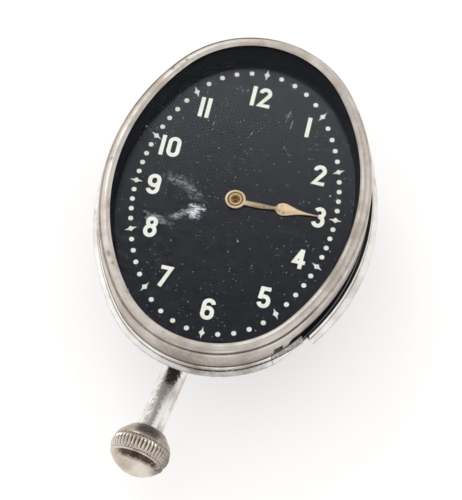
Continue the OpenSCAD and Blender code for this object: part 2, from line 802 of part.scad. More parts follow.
// Going train
module centre_wheel() color("#c2a060") {
  translate([0, 0, back_z]) cylinder(h = centre_arbor_top - back_z, r = centre_arbor_r);
  pinion_phase = driven_phase(barrel_p, centre_p, centre_pinion_n);
  translate([0, 0, barrel_z - rim_gap])
    gear(centre_pinion_n, barrel_m, pinion_phase, barrel_teeth_h + end_shake);
  translate([0, 0, centre_wheel_z])
    spoked_gear(centre_n, centre_m, driver_phase(centre_p, third_p), wheel_t, 0.9, 1.8, 5);
}

// A wheel and pinion on one arbor: the pinion is driven from p0, the wheel drives p1
module train_wheel(p, p0, p1, leaf_m, leaf_z, teeth, teeth_m, teeth_z) {
  at(p) arbor();
  at(p, leaf_z - end_shake) gear(leaf_n, leaf_m, driven_phase(p0, p, leaf_n), pinion_t);
  at(p, teeth_z) spoked_gear(teeth, teeth_m, driver_phase(p, p1), wheel_t, 0.7, 1.3, 4);
}

module third_wheel() color("#c2a060")
  train_wheel(third_p, centre_p, fourth_p, centre_m, centre_wheel_z, third_n, third_m, third_wheel_z);

module fourth_wheel() color("#c2a060")
  train_wheel(fourth_p, third_p, escape_p, third_m, third_wheel_z, fourth_n, fourth_m, fourth_wheel_z);

escape_root = 0.72;
module escape_wheel() color("#9aa0a6") {
  step = 360 / escape_n;
  at(escape_p) arbor();
  at(escape_p, fourth_wheel_z - end_shake)
    gear(leaf_n, fourth_m, driven_phase(fourth_p, escape_p, leaf_n), pinion_t);
  at(escape_p, escape_wheel_z) linear_extrude(wheel_t) polygon([
    for (i = [0:escape_n - 1], c = [[-0.32, escape_root], [-0.03, 1], [0.03, 1], [0.12, escape_root]])
      polar(c[1] * escape_r, pallet_heading + (i + 0.5 + c[0]) * step)
  ]);
}

// Pallet fork: two arms with stones clear of the escape teeth, and a fork towards the balance
stone_turn = 360 / escape_n;
stone_w = 0.4;
stone_gap = 0.25;
stone_l = 0.9;
lever_w = 0.7;
prong_gap = 0.75;
prong_w = 0.4;
prong_l = 0.85;
module pallet_fork() color("#9aa0a6") {
  slot_x = fork_l - prong_l;
  wide = prong_gap + prong_w;
  at(pallet_p) arbor();
  at(pallet_p, escape_wheel_z) linear_extrude(wheel_t) rotate(pallet_heading) {
    circle(pallet_d - escape_r - rim_gap);
    for (s = [-1, 1]) {
      stone = polar(escape_r, s * stone_turn) - [pallet_d, 0];
      polygon([
        [arbor_r, 0], [0, s * lever_w], stone + [arbor_r, s * arbor_r], stone + [arbor_r, -s * rim_gap]
      ]);
      translate(stone) rotate(s * stone_turn) translate([stone_gap, -stone_w / 2])
        square([stone_l - stone_gap, stone_w]);
    }
    translate([0, -lever_w / 2]) square([slot_x - rim_gap, lever_w]);
    polygon([
      [slot_x - lever_w, -wide], [fork_l, -wide], [fork_l, -prong_gap], [slot_x, -prong_gap],
      [slot_x, prong_gap], [fork_l, prong_gap], [fork_l, wide], [slot_x - lever_w, wide]
    ]);
  }
}

module balance_wheel() color("#c9a868") {
  roller_z = escape_wheel_z + wheel_t + free_gap;
  at(balance_p) arbor();
  at(balance_p, balance_z) linear_extrude(balance_t) difference() {
    circle(balance_r);
    difference() {
      circle(balance_r - balance_rim);
      circle(roller_r);
      rotate(pallet_heading + 90) square([2 * balance_r, balance_rim], center = true);
    }
  }
  at(balance_p, roller_z) cylinder(h = screw_slot, r = roller_r);
  at(balance_p, escape_wheel_z) rotate(pallet_heading + 180) translate([pin_rho, 0, 0])
    cylinder(h = roller_z - escape_wheel_z + screw_slot, r = pin_r, $fn = 24);
}

hairspring_w = 0.08;
module hairspring() color("#4d5f86") at(balance_p, hairspring_z) linear_extrude(hairspring_h)
  polygon(spiral_points(arbor_r + end_shake, hairspring_r, 6, hairspring_w, 150));

module hairspring_stud() color("#9aa0a6") {
  stud_p = balance_p + [hairspring_r + arbor_r + run_gap, 0];
  at(stud_p, hairspring_z - end_shake) cylinder(h = main_z - hairspring_z + end_shake, r = arbor_r);
}

case_body();
rear_cover();
bezel();
flange_ring();
crystal();
dial_ring();
dial();
minute_markers();
hour_hand();
hour_wheel();
minute_wheel();
minute_post();
cannon_pinion();
main_plate();
back_plate();
pillars();
plate_screws();
barrel();
barrel_lid();
barrel_arbor();
mainspring();
ratchet_wheel();
crown_wheel();
crown_wheel_screw();
click();
click_screw();
click_spring();
winding_pinion();
stem_bracket();
winding_stem();
stem_sleeve();
crown();
stem_tube();
tube_boss();
centre_wheel();
third_wheel();
fourth_wheel();
escape_wheel();
pallet_fork();
balance_wheel();
hairspring();
hairspring_stud();
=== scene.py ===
import json
import math

import bmesh
import bpy
import numpy as np
from mathutils import Matrix, Vector


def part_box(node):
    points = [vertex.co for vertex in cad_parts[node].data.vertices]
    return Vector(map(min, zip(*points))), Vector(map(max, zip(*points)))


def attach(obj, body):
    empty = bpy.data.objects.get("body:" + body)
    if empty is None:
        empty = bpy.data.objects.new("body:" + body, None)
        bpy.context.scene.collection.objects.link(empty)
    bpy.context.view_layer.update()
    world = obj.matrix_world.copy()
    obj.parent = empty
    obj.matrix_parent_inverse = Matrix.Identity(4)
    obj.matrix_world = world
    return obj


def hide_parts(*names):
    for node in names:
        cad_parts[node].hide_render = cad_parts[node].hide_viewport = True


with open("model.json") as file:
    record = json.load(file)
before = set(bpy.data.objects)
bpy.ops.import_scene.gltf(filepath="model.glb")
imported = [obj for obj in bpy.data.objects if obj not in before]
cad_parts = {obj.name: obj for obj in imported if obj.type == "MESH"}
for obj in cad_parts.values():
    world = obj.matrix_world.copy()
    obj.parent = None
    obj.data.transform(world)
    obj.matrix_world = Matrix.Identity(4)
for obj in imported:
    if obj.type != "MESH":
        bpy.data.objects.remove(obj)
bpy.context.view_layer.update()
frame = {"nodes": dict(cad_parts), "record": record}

bl_info = {
    "name": "Oval dashboard clock",
    "version": (1, 0, 0),
    "blender": (4, 5, 0),
    "location": "3D View > Sidebar > Clock",
    "description": "Dresses the packed model of an oval dashboard clock",
    "category": "Object",
}

# Shapes are worked out in mm. Turns are in degrees clockwise from 12 o'clock, and tables pair a place with a value
MM = 0.001
DIAL_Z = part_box("minute_markers")[0].z / MM
STEM_TURN = math.radians(-98.5)
STEM_ALONG = Vector((math.cos(STEM_TURN), math.sin(STEM_TURN), 0.0))
STEM_Z = 13.0


# Sizes and colours that a user may change

def metres(label, words, value):
    """A length with its default in metres."""
    return bpy.props.FloatProperty(name=label, description=words, default=value, unit="LENGTH")


def hue(label, words, value):
    """A colour with its default."""
    return bpy.props.FloatVectorProperty(
        name=label, description=words, default=value, size=3, min=0.0, max=1.0, subtype="COLOR")


class ClockSizes(bpy.types.PropertyGroup):
    """Sizes of the dressed pieces, in metres."""
    opening_half: metres("Opening half width", "Half the width of the bezel's opening", 0.028)
    oval_stretch: metres("Oval stretch", "Half height of the opening less its half width", 0.0109)
    rim_width: metres("Rim width", "Width of the bezel's rolled rim", 0.0027)
    rim_rise: metres("Rim rise", "Height of the rim's crest above its edges", 0.00034)
    flange_reach: metres("Flange reach", "How far the flange reaches outside the opening", 0.0041)
    lip_spring: metres("Lip spring", "How far the sprung lip stands away from the bezel", 0.00117)
    crown_radius: metres("Crown radius", "Greatest radius of the crown", 0.00693)
    rib_depth: metres("Rib depth", "Depth of the crown's ribs", 0.0004)
    tube_radius: metres("Tube radius", "Radius of the stem tube", 0.003)
    numeral_height: metres("Numeral height", "Height of the dial's numerals", 0.0053)
    numeral_stroke: metres("Numeral stroke", "Width of the numerals' strokes", 0.00095)
    hand_length: metres("Hand length", "Length of the hour hand from the dial's axis", 0.0195)


class ClockColours(bpy.types.PropertyGroup):
    """Colours of the clock's finishes."""
    nickel: hue("Nickel", "Plated metal", (0.68, 0.64, 0.60))
    pale: hue("Pale nickel", "Plating of the flange and the tube", (0.90, 0.88, 0.85))
    tarnish: hue("Tarnish", "Dulled plating", (0.46, 0.405, 0.345))
    # Spots, and the film of the bezel's painted shade
    spot: hue("Spots", "Brown spots in the plating", (0.085, 0.05, 0.03))
    # The flange's dark seat, edges and stain, and the film of its painted shade
    flange_dirt_and_shade: hue("Flange dirt", "Dirt on the flange", (0.020, 0.018, 0.019))
    ball: hue("Ball nickel", "Plating of the crown", (0.68, 0.62, 0.55))
    ball_dull: hue("Dull ball", "Dulled plating of the crown", (0.40, 0.33, 0.26))
    # Dirt and spots, and the film of the crown's painted shade and painted reflections
    ball_dirt_and_shade: hue("Ball dirt", "Dirt and spots on the crown", (0.055, 0.031, 0.019))
    dial: hue("Dial", "Satin black of the dial", (0.0045, 0.0047, 0.0068))
    japan: hue("Case black", "Black japan of the case", (0.008, 0.009, 0.013))
    dust: hue("Dust", "Dust and smears", (0.72, 0.75, 0.80))
    paint: hue("Paint", "Cream paint of the numerals and marks", (0.93, 0.925, 0.87))
    gilt: hue("Gilt", "Gilt of the hand", (0.82, 0.65, 0.43))
    gilt_dull: hue("Dull gilt", "Dulled gilt", (0.76, 0.55, 0.40))
    gilt_spot: hue("Gilt spots", "Spots in the gilt", (0.13, 0.065, 0.035))
    brass: hue("Brass", "Brass of the movement", (0.72, 0.53, 0.25))
    brass_dull: hue("Dull brass", "Dulled brass", (0.45, 0.3, 0.13))
    brass_spot: hue("Brass spots", "Spots in the brass", (0.12, 0.07, 0.03))
    steel: hue("Steel", "Steel of the movement", (0.56, 0.57, 0.58))
    steel_dull: hue("Dull steel", "Dulled steel", (0.34, 0.33, 0.33))
    steel_spot: hue("Steel spots", "Spots in the steel", (0.1, 0.07, 0.05))
    glass: hue("Glass", "Tint of the glass", (0.97, 0.99, 0.985))
    paper: hue("Paper", "Paper under the clock", (0.55, 0.543, 0.54))


# Shapes

JOIN_COSINE = 0.6
STEPPED_OUT = 3
TRACK_RADIUS = 36
MITRE_LIMIT = 0.62


def tabled(at, table):
    """Values read off a table of pairs, straight between its rows."""
    return np.interp(at, *np.transpose(table))


def oval_arcs(sizes):
    """The unit k, the end radius and the side radius of the opening's four-centre oval."""
    half, k = sizes.opening_half / MM, sizes.oval_stretch / MM / 2
    return k, half - k, half + 4 * k


def oval(sizes, turn, out):
    """Points of the oval that lies out mm outside the opening. turn is the direction of the outward normal in
    radians. The point is the arc's centre plus its radius times the normal: the end centres lie 3k up and down, the
    side centres 4k across, and an end arc holds where the normal's cosine is over 0.6."""
    k, end_r, side_r = oval_arcs(sizes)
    s, c = np.sin(turn), np.cos(turn)
    end = np.abs(c) > JOIN_COSINE
    radius = np.where(end, end_r, side_r) + out
    x = np.where(end, 0.0, -4 * k * np.sign(s)) + radius * s
    y = np.where(end, 3 * k * np.sign(c), 0.0) + radius * c
    return x, y


def oval_turns(sizes, first, last, count, extra=()):
    """Normal directions from first to last degrees that step evenly along the oval 3 mm outside the opening, with
    the extra ones added. The length grows by the radius times the turn, so the turns are read back from it."""
    _, end_r, side_r = oval_arcs(sizes)
    join = math.degrees(math.acos(JOIN_COSINE))
    stops = np.array([0, join, 180 - join, 180 + join, 360 - join, 360 + join, 540 - join, 540 + join])
    radius = np.array([end_r, side_r] * 3 + [end_r]) + STEPPED_OUT
    length = np.concatenate([[0], np.cumsum(radius * np.diff(stops))])
    span = np.interp([first, last], stops, length)
    turns = np.interp(np.linspace(span[0], span[1], count), length, stops)
    return np.unique(np.concatenate([turns, np.asarray(extra, float)]))


def sheet_faces(rows, columns, wrap_rows=False, wrap_columns=False):
    """Quads between the neighbours of a grid of rows by columns, joined round where a side wraps."""
    i = np.arange(rows if wrap_rows else rows - 1)
    j = np.arange(columns if wrap_columns else columns - 1)
    i, j = (a.ravel() for a in np.meshgrid(i, j, indexing="ij"))
    ni, nj = (i + 1) % rows, (j + 1) % columns
    return np.stack([i * columns + j, i * columns + nj, ni * columns + nj, ni * columns + j], 1)


def ring_track(across):
    """Places for grain that runs round a ring: a circle by the row's share of a turn, and the place across it."""
    around = 2 * np.pi * np.arange(len(across))[:, None] / len(across)
    circle = TRACK_RADIUS * np.cos(around), TRACK_RADIUS * np.sin(around)
    return np.stack(np.broadcast_arrays(*circle, across), 2)


def on_stem(along, across, around):
    """Points of a turned form on the stem's axis: along outward from the dial's axis, across the radius, around the
    angle. The point is the axis point plus the radius times the cosine sideways and the sine upward."""
    x, y, _ = STEM_ALONG
    side, up = across * np.cos(around), across * np.sin(around)
    return np.stack([along * x - side * y, along * y + side * x, STEM_Z + up], -1)


def stroke(path, width, low, high, closed=False):
    """A flat ribbon along a path, with a rectangle of the given width and heights as its profile. Each point moves
    out along the mean of its two edges' normals, over the cosine of the half turn, so corners are mitred."""
    step = np.diff(np.vstack([path, path[:1]]) if closed else path, axis=0)
    step = step / np.linalg.norm(step, axis=1)[:, None]
    normal = np.stack([-step[:, 1], step[:, 0]], 1)
    before = np.roll(normal, 1, 0) if closed else np.vstack([normal[:1], normal])
    after = normal if closed else np.vstack([normal, normal[-1:]])
    mean = before + after
    mean = mean / np.linalg.norm(mean, axis=1)[:, None]
    shift = mean * (width / 2 / np.maximum((mean * after).sum(1), MITRE_LIMIT))[:, None]
    n = len(path)
    co = np.empty((n, 4, 3))
    co[:, :2, :2] = (path + shift)[:, None]
    co[:, 2:, :2] = (path - shift)[:, None]
    co[:, [0, 3], 2] = low
    co[:, [1, 2], 2] = high
    quads = sheet_faces(n, 4, wrap_rows=closed, wrap_columns=True)
    if not closed:
        last = 4 * (n - 1)
        quads = np.vstack([quads, [[0, 1, 2, 3], [last + 3, last + 2, last + 1, last]]])
    return co.reshape(-1, 3), quads


def arc(x, y, rx, ry, start, stop, count=16):
    """Points of an ellipse's arc from start to stop degrees."""
    a = np.radians(np.linspace(start, stop, count))
    return np.stack([x + rx * np.cos(a), y + ry * np.sin(a)], 1)


def joined(parts):
    """Several vertex and face arrays as one."""
    start = np.cumsum([0] + [len(co) for co, _ in parts])
    return np.vstack([co for co, _ in parts]), np.vstack([f + s for (_, f), s in zip(parts, start)])


# Meshes

WELD, THIN = 1e-7, 1e-8


def make_piece(name, co, quads, body, slot, material, replaced=(), track=None, grime_and_light=None, sharp=40):
    """A mesh object from points in mm and quads, closed and turned outward, that rides on a body."""
    mesh = bpy.data.meshes.new(name)
    mesh.from_pydata((co.reshape(-1, 3) * MM).tolist(), [], quads.tolist())
    for label, kind, field, values in (
            ("track", "FLOAT_VECTOR", "vector", track), ("grime_and_light", "FLOAT", "value", grime_and_light)):
        if values is not None:
            layer = mesh.attributes.new(label, kind, "POINT")
            layer.data.foreach_set(field, np.asarray(values, np.float32).ravel())
    work = bmesh.new()
    work.from_mesh(mesh)
    bmesh.ops.remove_doubles(work, verts=work.verts, dist=WELD)
    bmesh.ops.dissolve_degenerate(work, edges=work.edges, dist=THIN)
    bmesh.ops.recalc_face_normals(work, faces=work.faces)
    work.to_mesh(mesh)
    work.free()
    mesh.shade_smooth()
    mesh.set_sharp_from_angle(angle=math.radians(sharp))
    mesh.materials.append(material)
    piece = bpy.data.objects.new(name, mesh)
    bpy.context.scene.collection.objects.link(piece)
    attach(piece, body)
    if replaced:
        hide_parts(*replaced)


def dress(nodes, material):
    """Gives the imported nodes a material."""
    for name in nodes:
        slots = frame["nodes"][name].data.materials
        slots.clear()
        slots.append(material)


# Node trees: a helper that is given a socket adds its nodes to the tree of that socket

def feed(made, values):
    """Sets or links the inputs of a node."""
    for key, value in values.items():
        if isinstance(value, bpy.types.NodeSocket):
            made.id_data.links.new(value, made.inputs[key])
        else:
            made.inputs[key].default_value = value


def node(tree, kind, values=None, **settings):
    """A node with its settings, and its inputs set or linked."""
    made = tree.nodes.new("ShaderNode" + kind)
    for key, value in settings.items():
        setattr(made, key, value)
    feed(made, values or {})
    return made


def maths(operation, *values):
    """The result of a Math node."""
    return node(values[0].id_data, "Math", dict(enumerate(values)), operation=operation).outputs[0]


def vector_maths(operation, *values, gives="Value"):
    """The result of a Vector Math node."""
    return node(values[0].id_data, "VectorMath", dict(enumerate(values)), operation=operation).outputs[gives]


def times(product, *others):
    """The product of values."""
    for other in others:
        product = maths("MULTIPLY", product, other)
    return product


def larger(a, b):
    """The larger of two values."""
    return maths("MAXIMUM", a, b)


def ramp(value, low, high, out_low=0.0, out_high=1.0):
    """A value brought from one range to another, smoothly and clamped."""
    return node(value.id_data, "MapRange", {
        "Value": value, "From Min": low, "From Max": high, "To Min": out_low, "To Max": out_high},
        interpolation_type="SMOOTHSTEP").outputs["Result"]


def blended(share, a, b):
    """The second colour over the first, by a share."""
    return node(share.id_data, "Mix", {0: share, 6: a, 7: b}, data_type="RGBA").outputs[2]


def noise(vector, scale, detail=3.0, rough=0.55):
    """Cloudy noise with scale cells to the mm."""
    return node(vector.id_data, "TexNoise", {
        "Vector": vector, "Scale": scale, "Detail": detail, "Roughness": rough}).outputs["Fac"]


def opaque(value):
    """A colour with full alpha."""
    return (*value, 1.0)


def new_group(name, vectors, values, gives):
    """An empty node group that takes vectors and values and gives values, and its input and output nodes."""
    tree = bpy.data.node_groups.new(name, "ShaderNodeTree")
    for labels, way, kind in ((vectors, "INPUT", "Vector"), (values, "INPUT", "Float"), (gives, "OUTPUT", "Float")):
        for label in labels:
            tree.interface.new_socket(name=label, in_out=way, socket_type="NodeSocket" + kind)
    return tree, tree.nodes.new("NodeGroupInput").outputs, tree.nodes.new("NodeGroupOutput")


def tarnish_group(name):
    """Masks of aged metal: cloudy dulling, small spots that gather in places, and fine grain."""
    tree, takes, gives = new_group(
        name, ("Place", "Grain Place"), ("Cloud Scale", "Spot Scale"), ("Cloud", "Spots", "Grain"))
    cloud = noise(takes["Place"], takes["Cloud Scale"], 5.0, 0.6)
    spots = ramp(noise(takes["Place"], takes["Spot Scale"], 2.5, 0.6), 0.62, 0.72)
    feed(gives, {"Cloud": ramp(cloud, 0.36, 0.68), "Spots": times(spots, ramp(cloud, 0.42, 0.66)),
                 "Grain": noise(takes["Grain Place"], 1.0, 4.0, 0.65)})
    return tree


def dust_group(name):
    """A mask of scattered specks: cells of random size, few of which hold a speck."""
    tree, takes, gives = new_group(name, ("Place",), ("Scale", "Size"), ("Specks",))
    cells = node(tree, "TexVoronoi", {"Vector": takes["Place"], "Scale": takes["Scale"]})
    pick = node(tree, "SeparateColor", {0: cells.outputs["Color"]})
    reach = times(takes["Size"], ramp(pick.outputs[0], 0.45, 1.0))
    near = maths("SUBTRACT", reach, cells.outputs["Distance"])
    feed(gives, {"Specks": times(ramp(near, 0.0, 0.05), ramp(pick.outputs[1], 0.0, 1.0, 0.25, 1.0))})
    return tree


def use_group(name, maker, values):
    """The outputs of a node group, which is made on its first use."""
    group = bpy.data.node_groups.get(name) or maker(name)
    return node(values["Place"].id_data, "Group", values, node_tree=group).outputs


def new_material(name):
    """A material with a Principled shader, and its place in mm from Object coordinates."""
    made = bpy.data.materials.new(name)
    made.use_nodes = True
    tree = made.node_tree
    shader = next(n for n in tree.nodes if n.type == "BSDF_PRINCIPLED")
    place = node(tree, "Mapping", {
        "Vector": node(tree, "TexCoord").outputs["Object"], "Scale": (1 / MM,) * 3}).outputs[0]
    return made, shader, place


def bumps(height, strength, depth):
    """The normal of a surface with bumps of a depth in mm."""
    return node(height.id_data, "Bump", {
        "Height": height, "Strength": strength, "Distance": depth * MM}).outputs[0]


def made_once(maker):
    """The maker, or the material of that name where it is there already."""
    def made(name, *values, **more):
        return bpy.data.materials.get(name) or maker(name, *values, **more)
    return made


# Finishes

# Painted light: the colour of painted highlights, the tube's painted grey reflection and painted brown reflection
# of the shaded case, and the painted shade round the hand pipes
PAINTED_HIGHLIGHT = (0.97, 0.96, 0.95)
STRIPE_REFLECTION_GREY = (0.36, 0.34, 0.33)
PATCH_REFLECTION_BROWN = (0.075, 0.05, 0.038)
PIPE_SHADE_DARK = (0.030, 0.018, 0.010)
TUBE_TOP = (STEM_Z + 0.6, STEM_Z + 1.4)
TORN_EDGE = (1.1, 0.85)
STRIPE_SIDE, STRIPE_START = -0.33, (40.5, 43.0)
PATCH_AT, PATCH_HALF = (39.4, 0.5), (3.0, 1.35)
BRIGHT_START, BRIGHT_STOP = (0.55, 0.7), (1.9, 1.6)
PIPE_GAP, PIPE_OUTSIDE, PIPE_BORE = ((0.78, 0.9), (1.12, 1.0)), (1.42, 1.62), (0.56, 0.44)
BLACK_GLEAM = (0.90, 0.91, 1.0)
FINE_DUST, COARSE_DUST = (1.5, 0.22), (0.33, 0.10)
PAPER_LIGHT, PAPER_GLOW = (1.0, 0.985, 0.98), 0.53
FILM_METAL = 0.3
DULL_ROUGHER = 0.28
GLASS_INDEX = 1.12


@made_once
def plated_metal(name, light, dull, spot, rough, cloud_scale=0.16, spot_scale=1.3, spot_share=0.8, grain=(1, 1, 9),
                 tracked=False, reads_grime_and_light=False, painted_light=None):
    """Aged plating: the light colour dulls in clouds, with spots, brushed grain and a rougher dulled part. The
    mesh's own attribute lays a dull film in the spot colour, as dirt and as painted shade and reflections, and a
    negative value is a painted highlight that brightens the plating. The last argument paints painted light of its
    own over the colour and tells where it is dull."""
    made, shader, place = new_material(name)
    tree = made.node_tree
    source = node(tree, "Attribute", attribute_name="track").outputs["Vector"] if tracked else place
    grain_place = node(tree, "Mapping", {"Vector": source, "Scale": grain}).outputs[0]
    marks = use_group("Tarnish", tarnish_group, {
        "Place": place, "Grain Place": grain_place, "Cloud Scale": cloud_scale, "Spot Scale": spot_scale})
    dulled = times(marks["Cloud"], ramp(marks["Grain"], 0.2, 0.8, 0.45, 1.0))
    tone = blended(dulled, opaque(light), opaque(dull))
    tone = blended(times(marks["Spots"], spot_share), tone, opaque(spot))
    film = None
    if reads_grime_and_light:
        caught = node(tree, "Attribute", attribute_name="grime_and_light").outputs["Fac"]
        uneven = ramp(noise(place, 1.4, 4.0, 0.65), 0.3, 0.6, 0.45, 1.0)
        film = times(caught, uneven)
        # Painted highlights where the attribute is negative, then a film of dirt and painted shade where it is
        # positive
        tone = blended(times(ramp(caught, 0.0, -1.0), 0.9), tone, opaque(PAINTED_HIGHLIGHT))
        tone = blended(film, tone, opaque(spot))
    if painted_light:
        tone, film = painted_light(place, tone)
    wear = larger(times(dulled, 0.8), marks["Spots"])
    feed(shader, {
        "Base Color": tone, "Metallic": ramp(film, 0.0, 1.0, 1.0, FILM_METAL) if film else 1.0,
        "Roughness": ramp(wear, 0.0, 1.0, rough, rough + DULL_ROUGHER),
        "Normal": bumps(maths("SUBTRACT", marks["Grain"], marks["Spots"]), 0.25, 0.03)})
    return made


def tube_painted_reflections(place, tone):
    """A painted dark reflection in a grey stripe along the top of the stem tube, a painted reflection of the shaded
    case in a brown patch near the case, and a painted highlight in a band beside them, with ragged edges. Gives the
    colour and where it is dull."""
    along = vector_maths("DOT_PRODUCT", place, tuple(STEM_ALONG))
    side = vector_maths("DOT_PRODUCT", place, (-STEM_ALONG.y, STEM_ALONG.x, 0.0))
    up = node(place.id_data, "SeparateXYZ", {0: place}).outputs["Z"]
    top = ramp(up, *TUBE_TOP)
    ragged = ramp(noise(place, 1.3, 5.0, 0.75), 0.32, 0.68, -0.7, 0.7)
    finer = times(ragged, 0.6)
    far = maths("ADD", maths("ABSOLUTE", maths("SUBTRACT", side, STRIPE_SIDE)), ragged)
    stripe = times(ramp(far, *TORN_EDGE), top, ramp(along, *STRIPE_START))
    tone = blended(times(stripe, 0.85), tone, opaque(STRIPE_REFLECTION_GREY))
    spot = node(place.id_data, "CombineXYZ", {
        i: times(maths("SUBTRACT", value, PATCH_AT[i]), 1 / PATCH_HALF[i])
        for i, value in enumerate((along, side))}).outputs[0]
    reach = maths("ADD", vector_maths("LENGTH", spot), finer)
    patch = times(ramp(reach, *TORN_EDGE), top)
    edge = maths("ADD", side, finer)
    bright = times(ramp(edge, *BRIGHT_START), ramp(side, *BRIGHT_STOP), top)
    tone = blended(times(bright, 0.9), tone, opaque(PAINTED_HIGHLIGHT))
    film = larger(patch, times(stripe, 0.8))
    return blended(patch, tone, opaque(PATCH_REFLECTION_BROWN)), film


def pipe_painted_shade(place, tone):
    """Painted shade in rings round the ends of the hand pipes, above the dial, and down the inner pipe's bore.
    Gives the colour and where it is dull."""
    flat = vector_maths("MULTIPLY", place, (1.0, 1.0, 0.0), gives="Vector")
    away = vector_maths("LENGTH", flat)
    up = node(place.id_data, "SeparateXYZ", {0: place}).outputs["Z"]
    between = times(*(ramp(away, *edge) for edge in PIPE_GAP))
    rings = larger(ramp(away, *PIPE_OUTSIDE), between)
    rings = times(rings, ramp(up, DIAL_Z - 0.5, DIAL_Z))
    bore = times(ramp(away, *PIPE_BORE), ramp(up, DIAL_Z - 8, DIAL_Z - 7))
    pipe_shade = larger(rings, bore)
    return blended(times(pipe_shade, 0.92), tone, opaque(PIPE_SHADE_DARK)), pipe_shade


def smear_mask(place, torn, smear):
    """One smear on the dial: an oval with a torn edge, filled with wisps that run along it."""
    (x, y), (long, wide), turn, strength = smear
    turn = math.radians(turn)
    spot = node(place.id_data, "Mapping", {
        "Vector": place, "Location": (x, y, DIAL_Z), "Rotation": (0.0, 0.0, turn), "Scale": (long, wide, 100.0)},
        vector_type="TEXTURE").outputs[0]
    far = maths("ADD", vector_maths("LENGTH", spot), torn)
    streaked = node(place.id_data, "Mapping", {
        "Vector": place, "Rotation": (0.0, 0.0, -turn), "Scale": (0.55, 1.5, 1.0)}).outputs[0]
    wisps = times(ramp(noise(streaked, 1.2, 6.0, 0.75), 0.36, 0.62),
                  ramp(noise(place, 2.6, 4.0, 0.7), 0.3, 0.56, 0.25, 1.0))
    return times(ramp(far, 1.0, 0.0), wisps, strength)


@made_once
def satin_black(name, base, dust, rough, gloss, specks, smears=(), grain=0.03):
    """Satin black paint with dust specks, and smears given as centre, half sizes, turn and strength."""
    made, shader, place = new_material(name)
    fine, coarse = (use_group("Dust", dust_group, {"Place": place, "Scale": scale, "Size": size})["Specks"]
                    for scale, size in (FINE_DUST, COARSE_DUST))
    mask = times(larger(times(fine, 0.65), coarse), specks)
    torn = ramp(noise(place, 0.7, 6.0, 0.7), 0.3, 0.7, -0.45, 0.45) if smears else None
    for smear in smears:
        mask = larger(mask, smear_mask(place, torn, smear))
    feed(shader, {
        "Base Color": blended(mask, opaque(base), opaque(dust)),
        "Roughness": ramp(noise(place, 0.5, 4.0, 0.6), 0.3, 0.7, rough - 0.03, rough + 0.04),
        "Specular IOR Level": gloss, "Specular Tint": opaque(BLACK_GLEAM),
        "Normal": bumps(noise(place, 14.0, 2.0, 0.5), grain, 0.02)})
    return made


@made_once
def cream_paint(name, base):
    """Thick cream paint, a little yellower in patches, with a grainy surface."""
    made, shader, place = new_material(name)
    patches = ramp(noise(place, 0.35, 4.0, 0.6), 0.35, 0.7, 0.0, 0.55)
    aged = (base[0] * 0.90, base[1] * 0.86, base[2] * 0.74)
    feed(shader, {
        "Base Color": blended(patches, opaque(base), opaque(aged)),
        "Roughness": ramp(noise(place, 2.5), 0.3, 0.7, 0.55, 0.75),
        "Normal": bumps(noise(place, 5.0, 3.0, 0.6), 0.2, 0.03)})
    return made


@made_once
def clear_glass(name, tint):
    """Flat clear glass, hardly mirroring, with faint smears in its gloss. Its shadow lets the light through."""
    made, shader, place = new_material(name)
    tree = made.node_tree
    feed(shader, {
        "Base Color": opaque(tint), "Transmission Weight": 1.0, "IOR": GLASS_INDEX,
        "Roughness": ramp(noise(place, 0.08, 5.0, 0.6), 0.45, 0.8, 0.0, 0.035)})
    output = next(n for n in tree.nodes if n.type == "OUTPUT_MATERIAL")
    through = node(tree, "BsdfTransparent", {"Color": opaque(tint)})
    mixed = node(tree, "MixShader", {
        0: node(tree, "LightPath").outputs["Is Shadow Ray"], 1: shader.outputs[0], 2: through.outputs[0]})
    feed(output, {"Surface": mixed.outputs[0]})
    return made


@made_once
def paper(name, base):
    """Paper on a lit table, with faint warm mottling."""
    made, shader, place = new_material(name)
    mottle = ramp(noise(place, 0.03, 5.0, 0.6), 0.4, 0.75, 0.0, 0.5)
    warm = (base[0], base[1] * 0.965, base[2] * 0.955)
    feed(shader, {
        "Base Color": blended(mottle, opaque(base), opaque(warm)), "Roughness": 0.9, "Specular IOR Level": 0.1,
        "Emission Color": opaque(PAPER_LIGHT), "Emission Strength": PAPER_GLOW})
    return made


# Bezel

RIM_MIDDLE, RIM_HALF, RIM_EDGE = 0.9, 0.95, 5.4
SKIRT_TOP, SKIRT_FOOT = 4.5, -2.3
SKIRT_INSIDE, LINING_Z = 2.0, 5.34
SLOT_FROM, SLOT_TO, SLOT_TOP, SLOT_LOW = 133.4, 138.7, 1.3, -1.05
GAP_FROM, GAP_TO, GAP_ROUND, GAP_SLOPE = 84, 126.4, 3.7, 0.08
GAP_END, BEZEL_STEPS, HAIR = (125.5, 130.2, 17), 540, 1e-6
RING_GRAIN = (0.12, 0.12, 5.0)
# Painted shade along the groove and along its top, and painted highlights on the groove and the shoulder, by turn
GROOVE_SHADE = ((0, 0.3), (12, 0), (112, 0), (122, 1), (178, 1), (192, 0.5), (298, 0.45), (312, 0.8), (348, 0.8),
               (360, 0.3))
GROOVE_HIGHLIGHT = ((40, 0), (60, 1), (112, 1), (122, 0))
SHOULDER_HIGHLIGHT = ((40, 0), (60, 1), (290, 1), (306, 0))
UPPER_SHADE_LINE = ((0, 0.5), (14, 0), (298, 0), (314, 0.9), (350, 1.2), (360, 0.5))
RIM_HANDLED = ((30, 0), (50, 0.4), (120, 0.4), (140, 0))
SKIRT_STAIN = ((118, 0), (140, 0.6), (185, 0.55), (215, 0.25), (262, 0))
RIM_SPOTS = ((308, 10, 0.8), (303, 14, 0.5), (271.5, 12, 0.5), (244, 11, 0.7), (241, 8, 0.5))
SPOT_ROWS, SPOT_GRIME = 3, 0.9


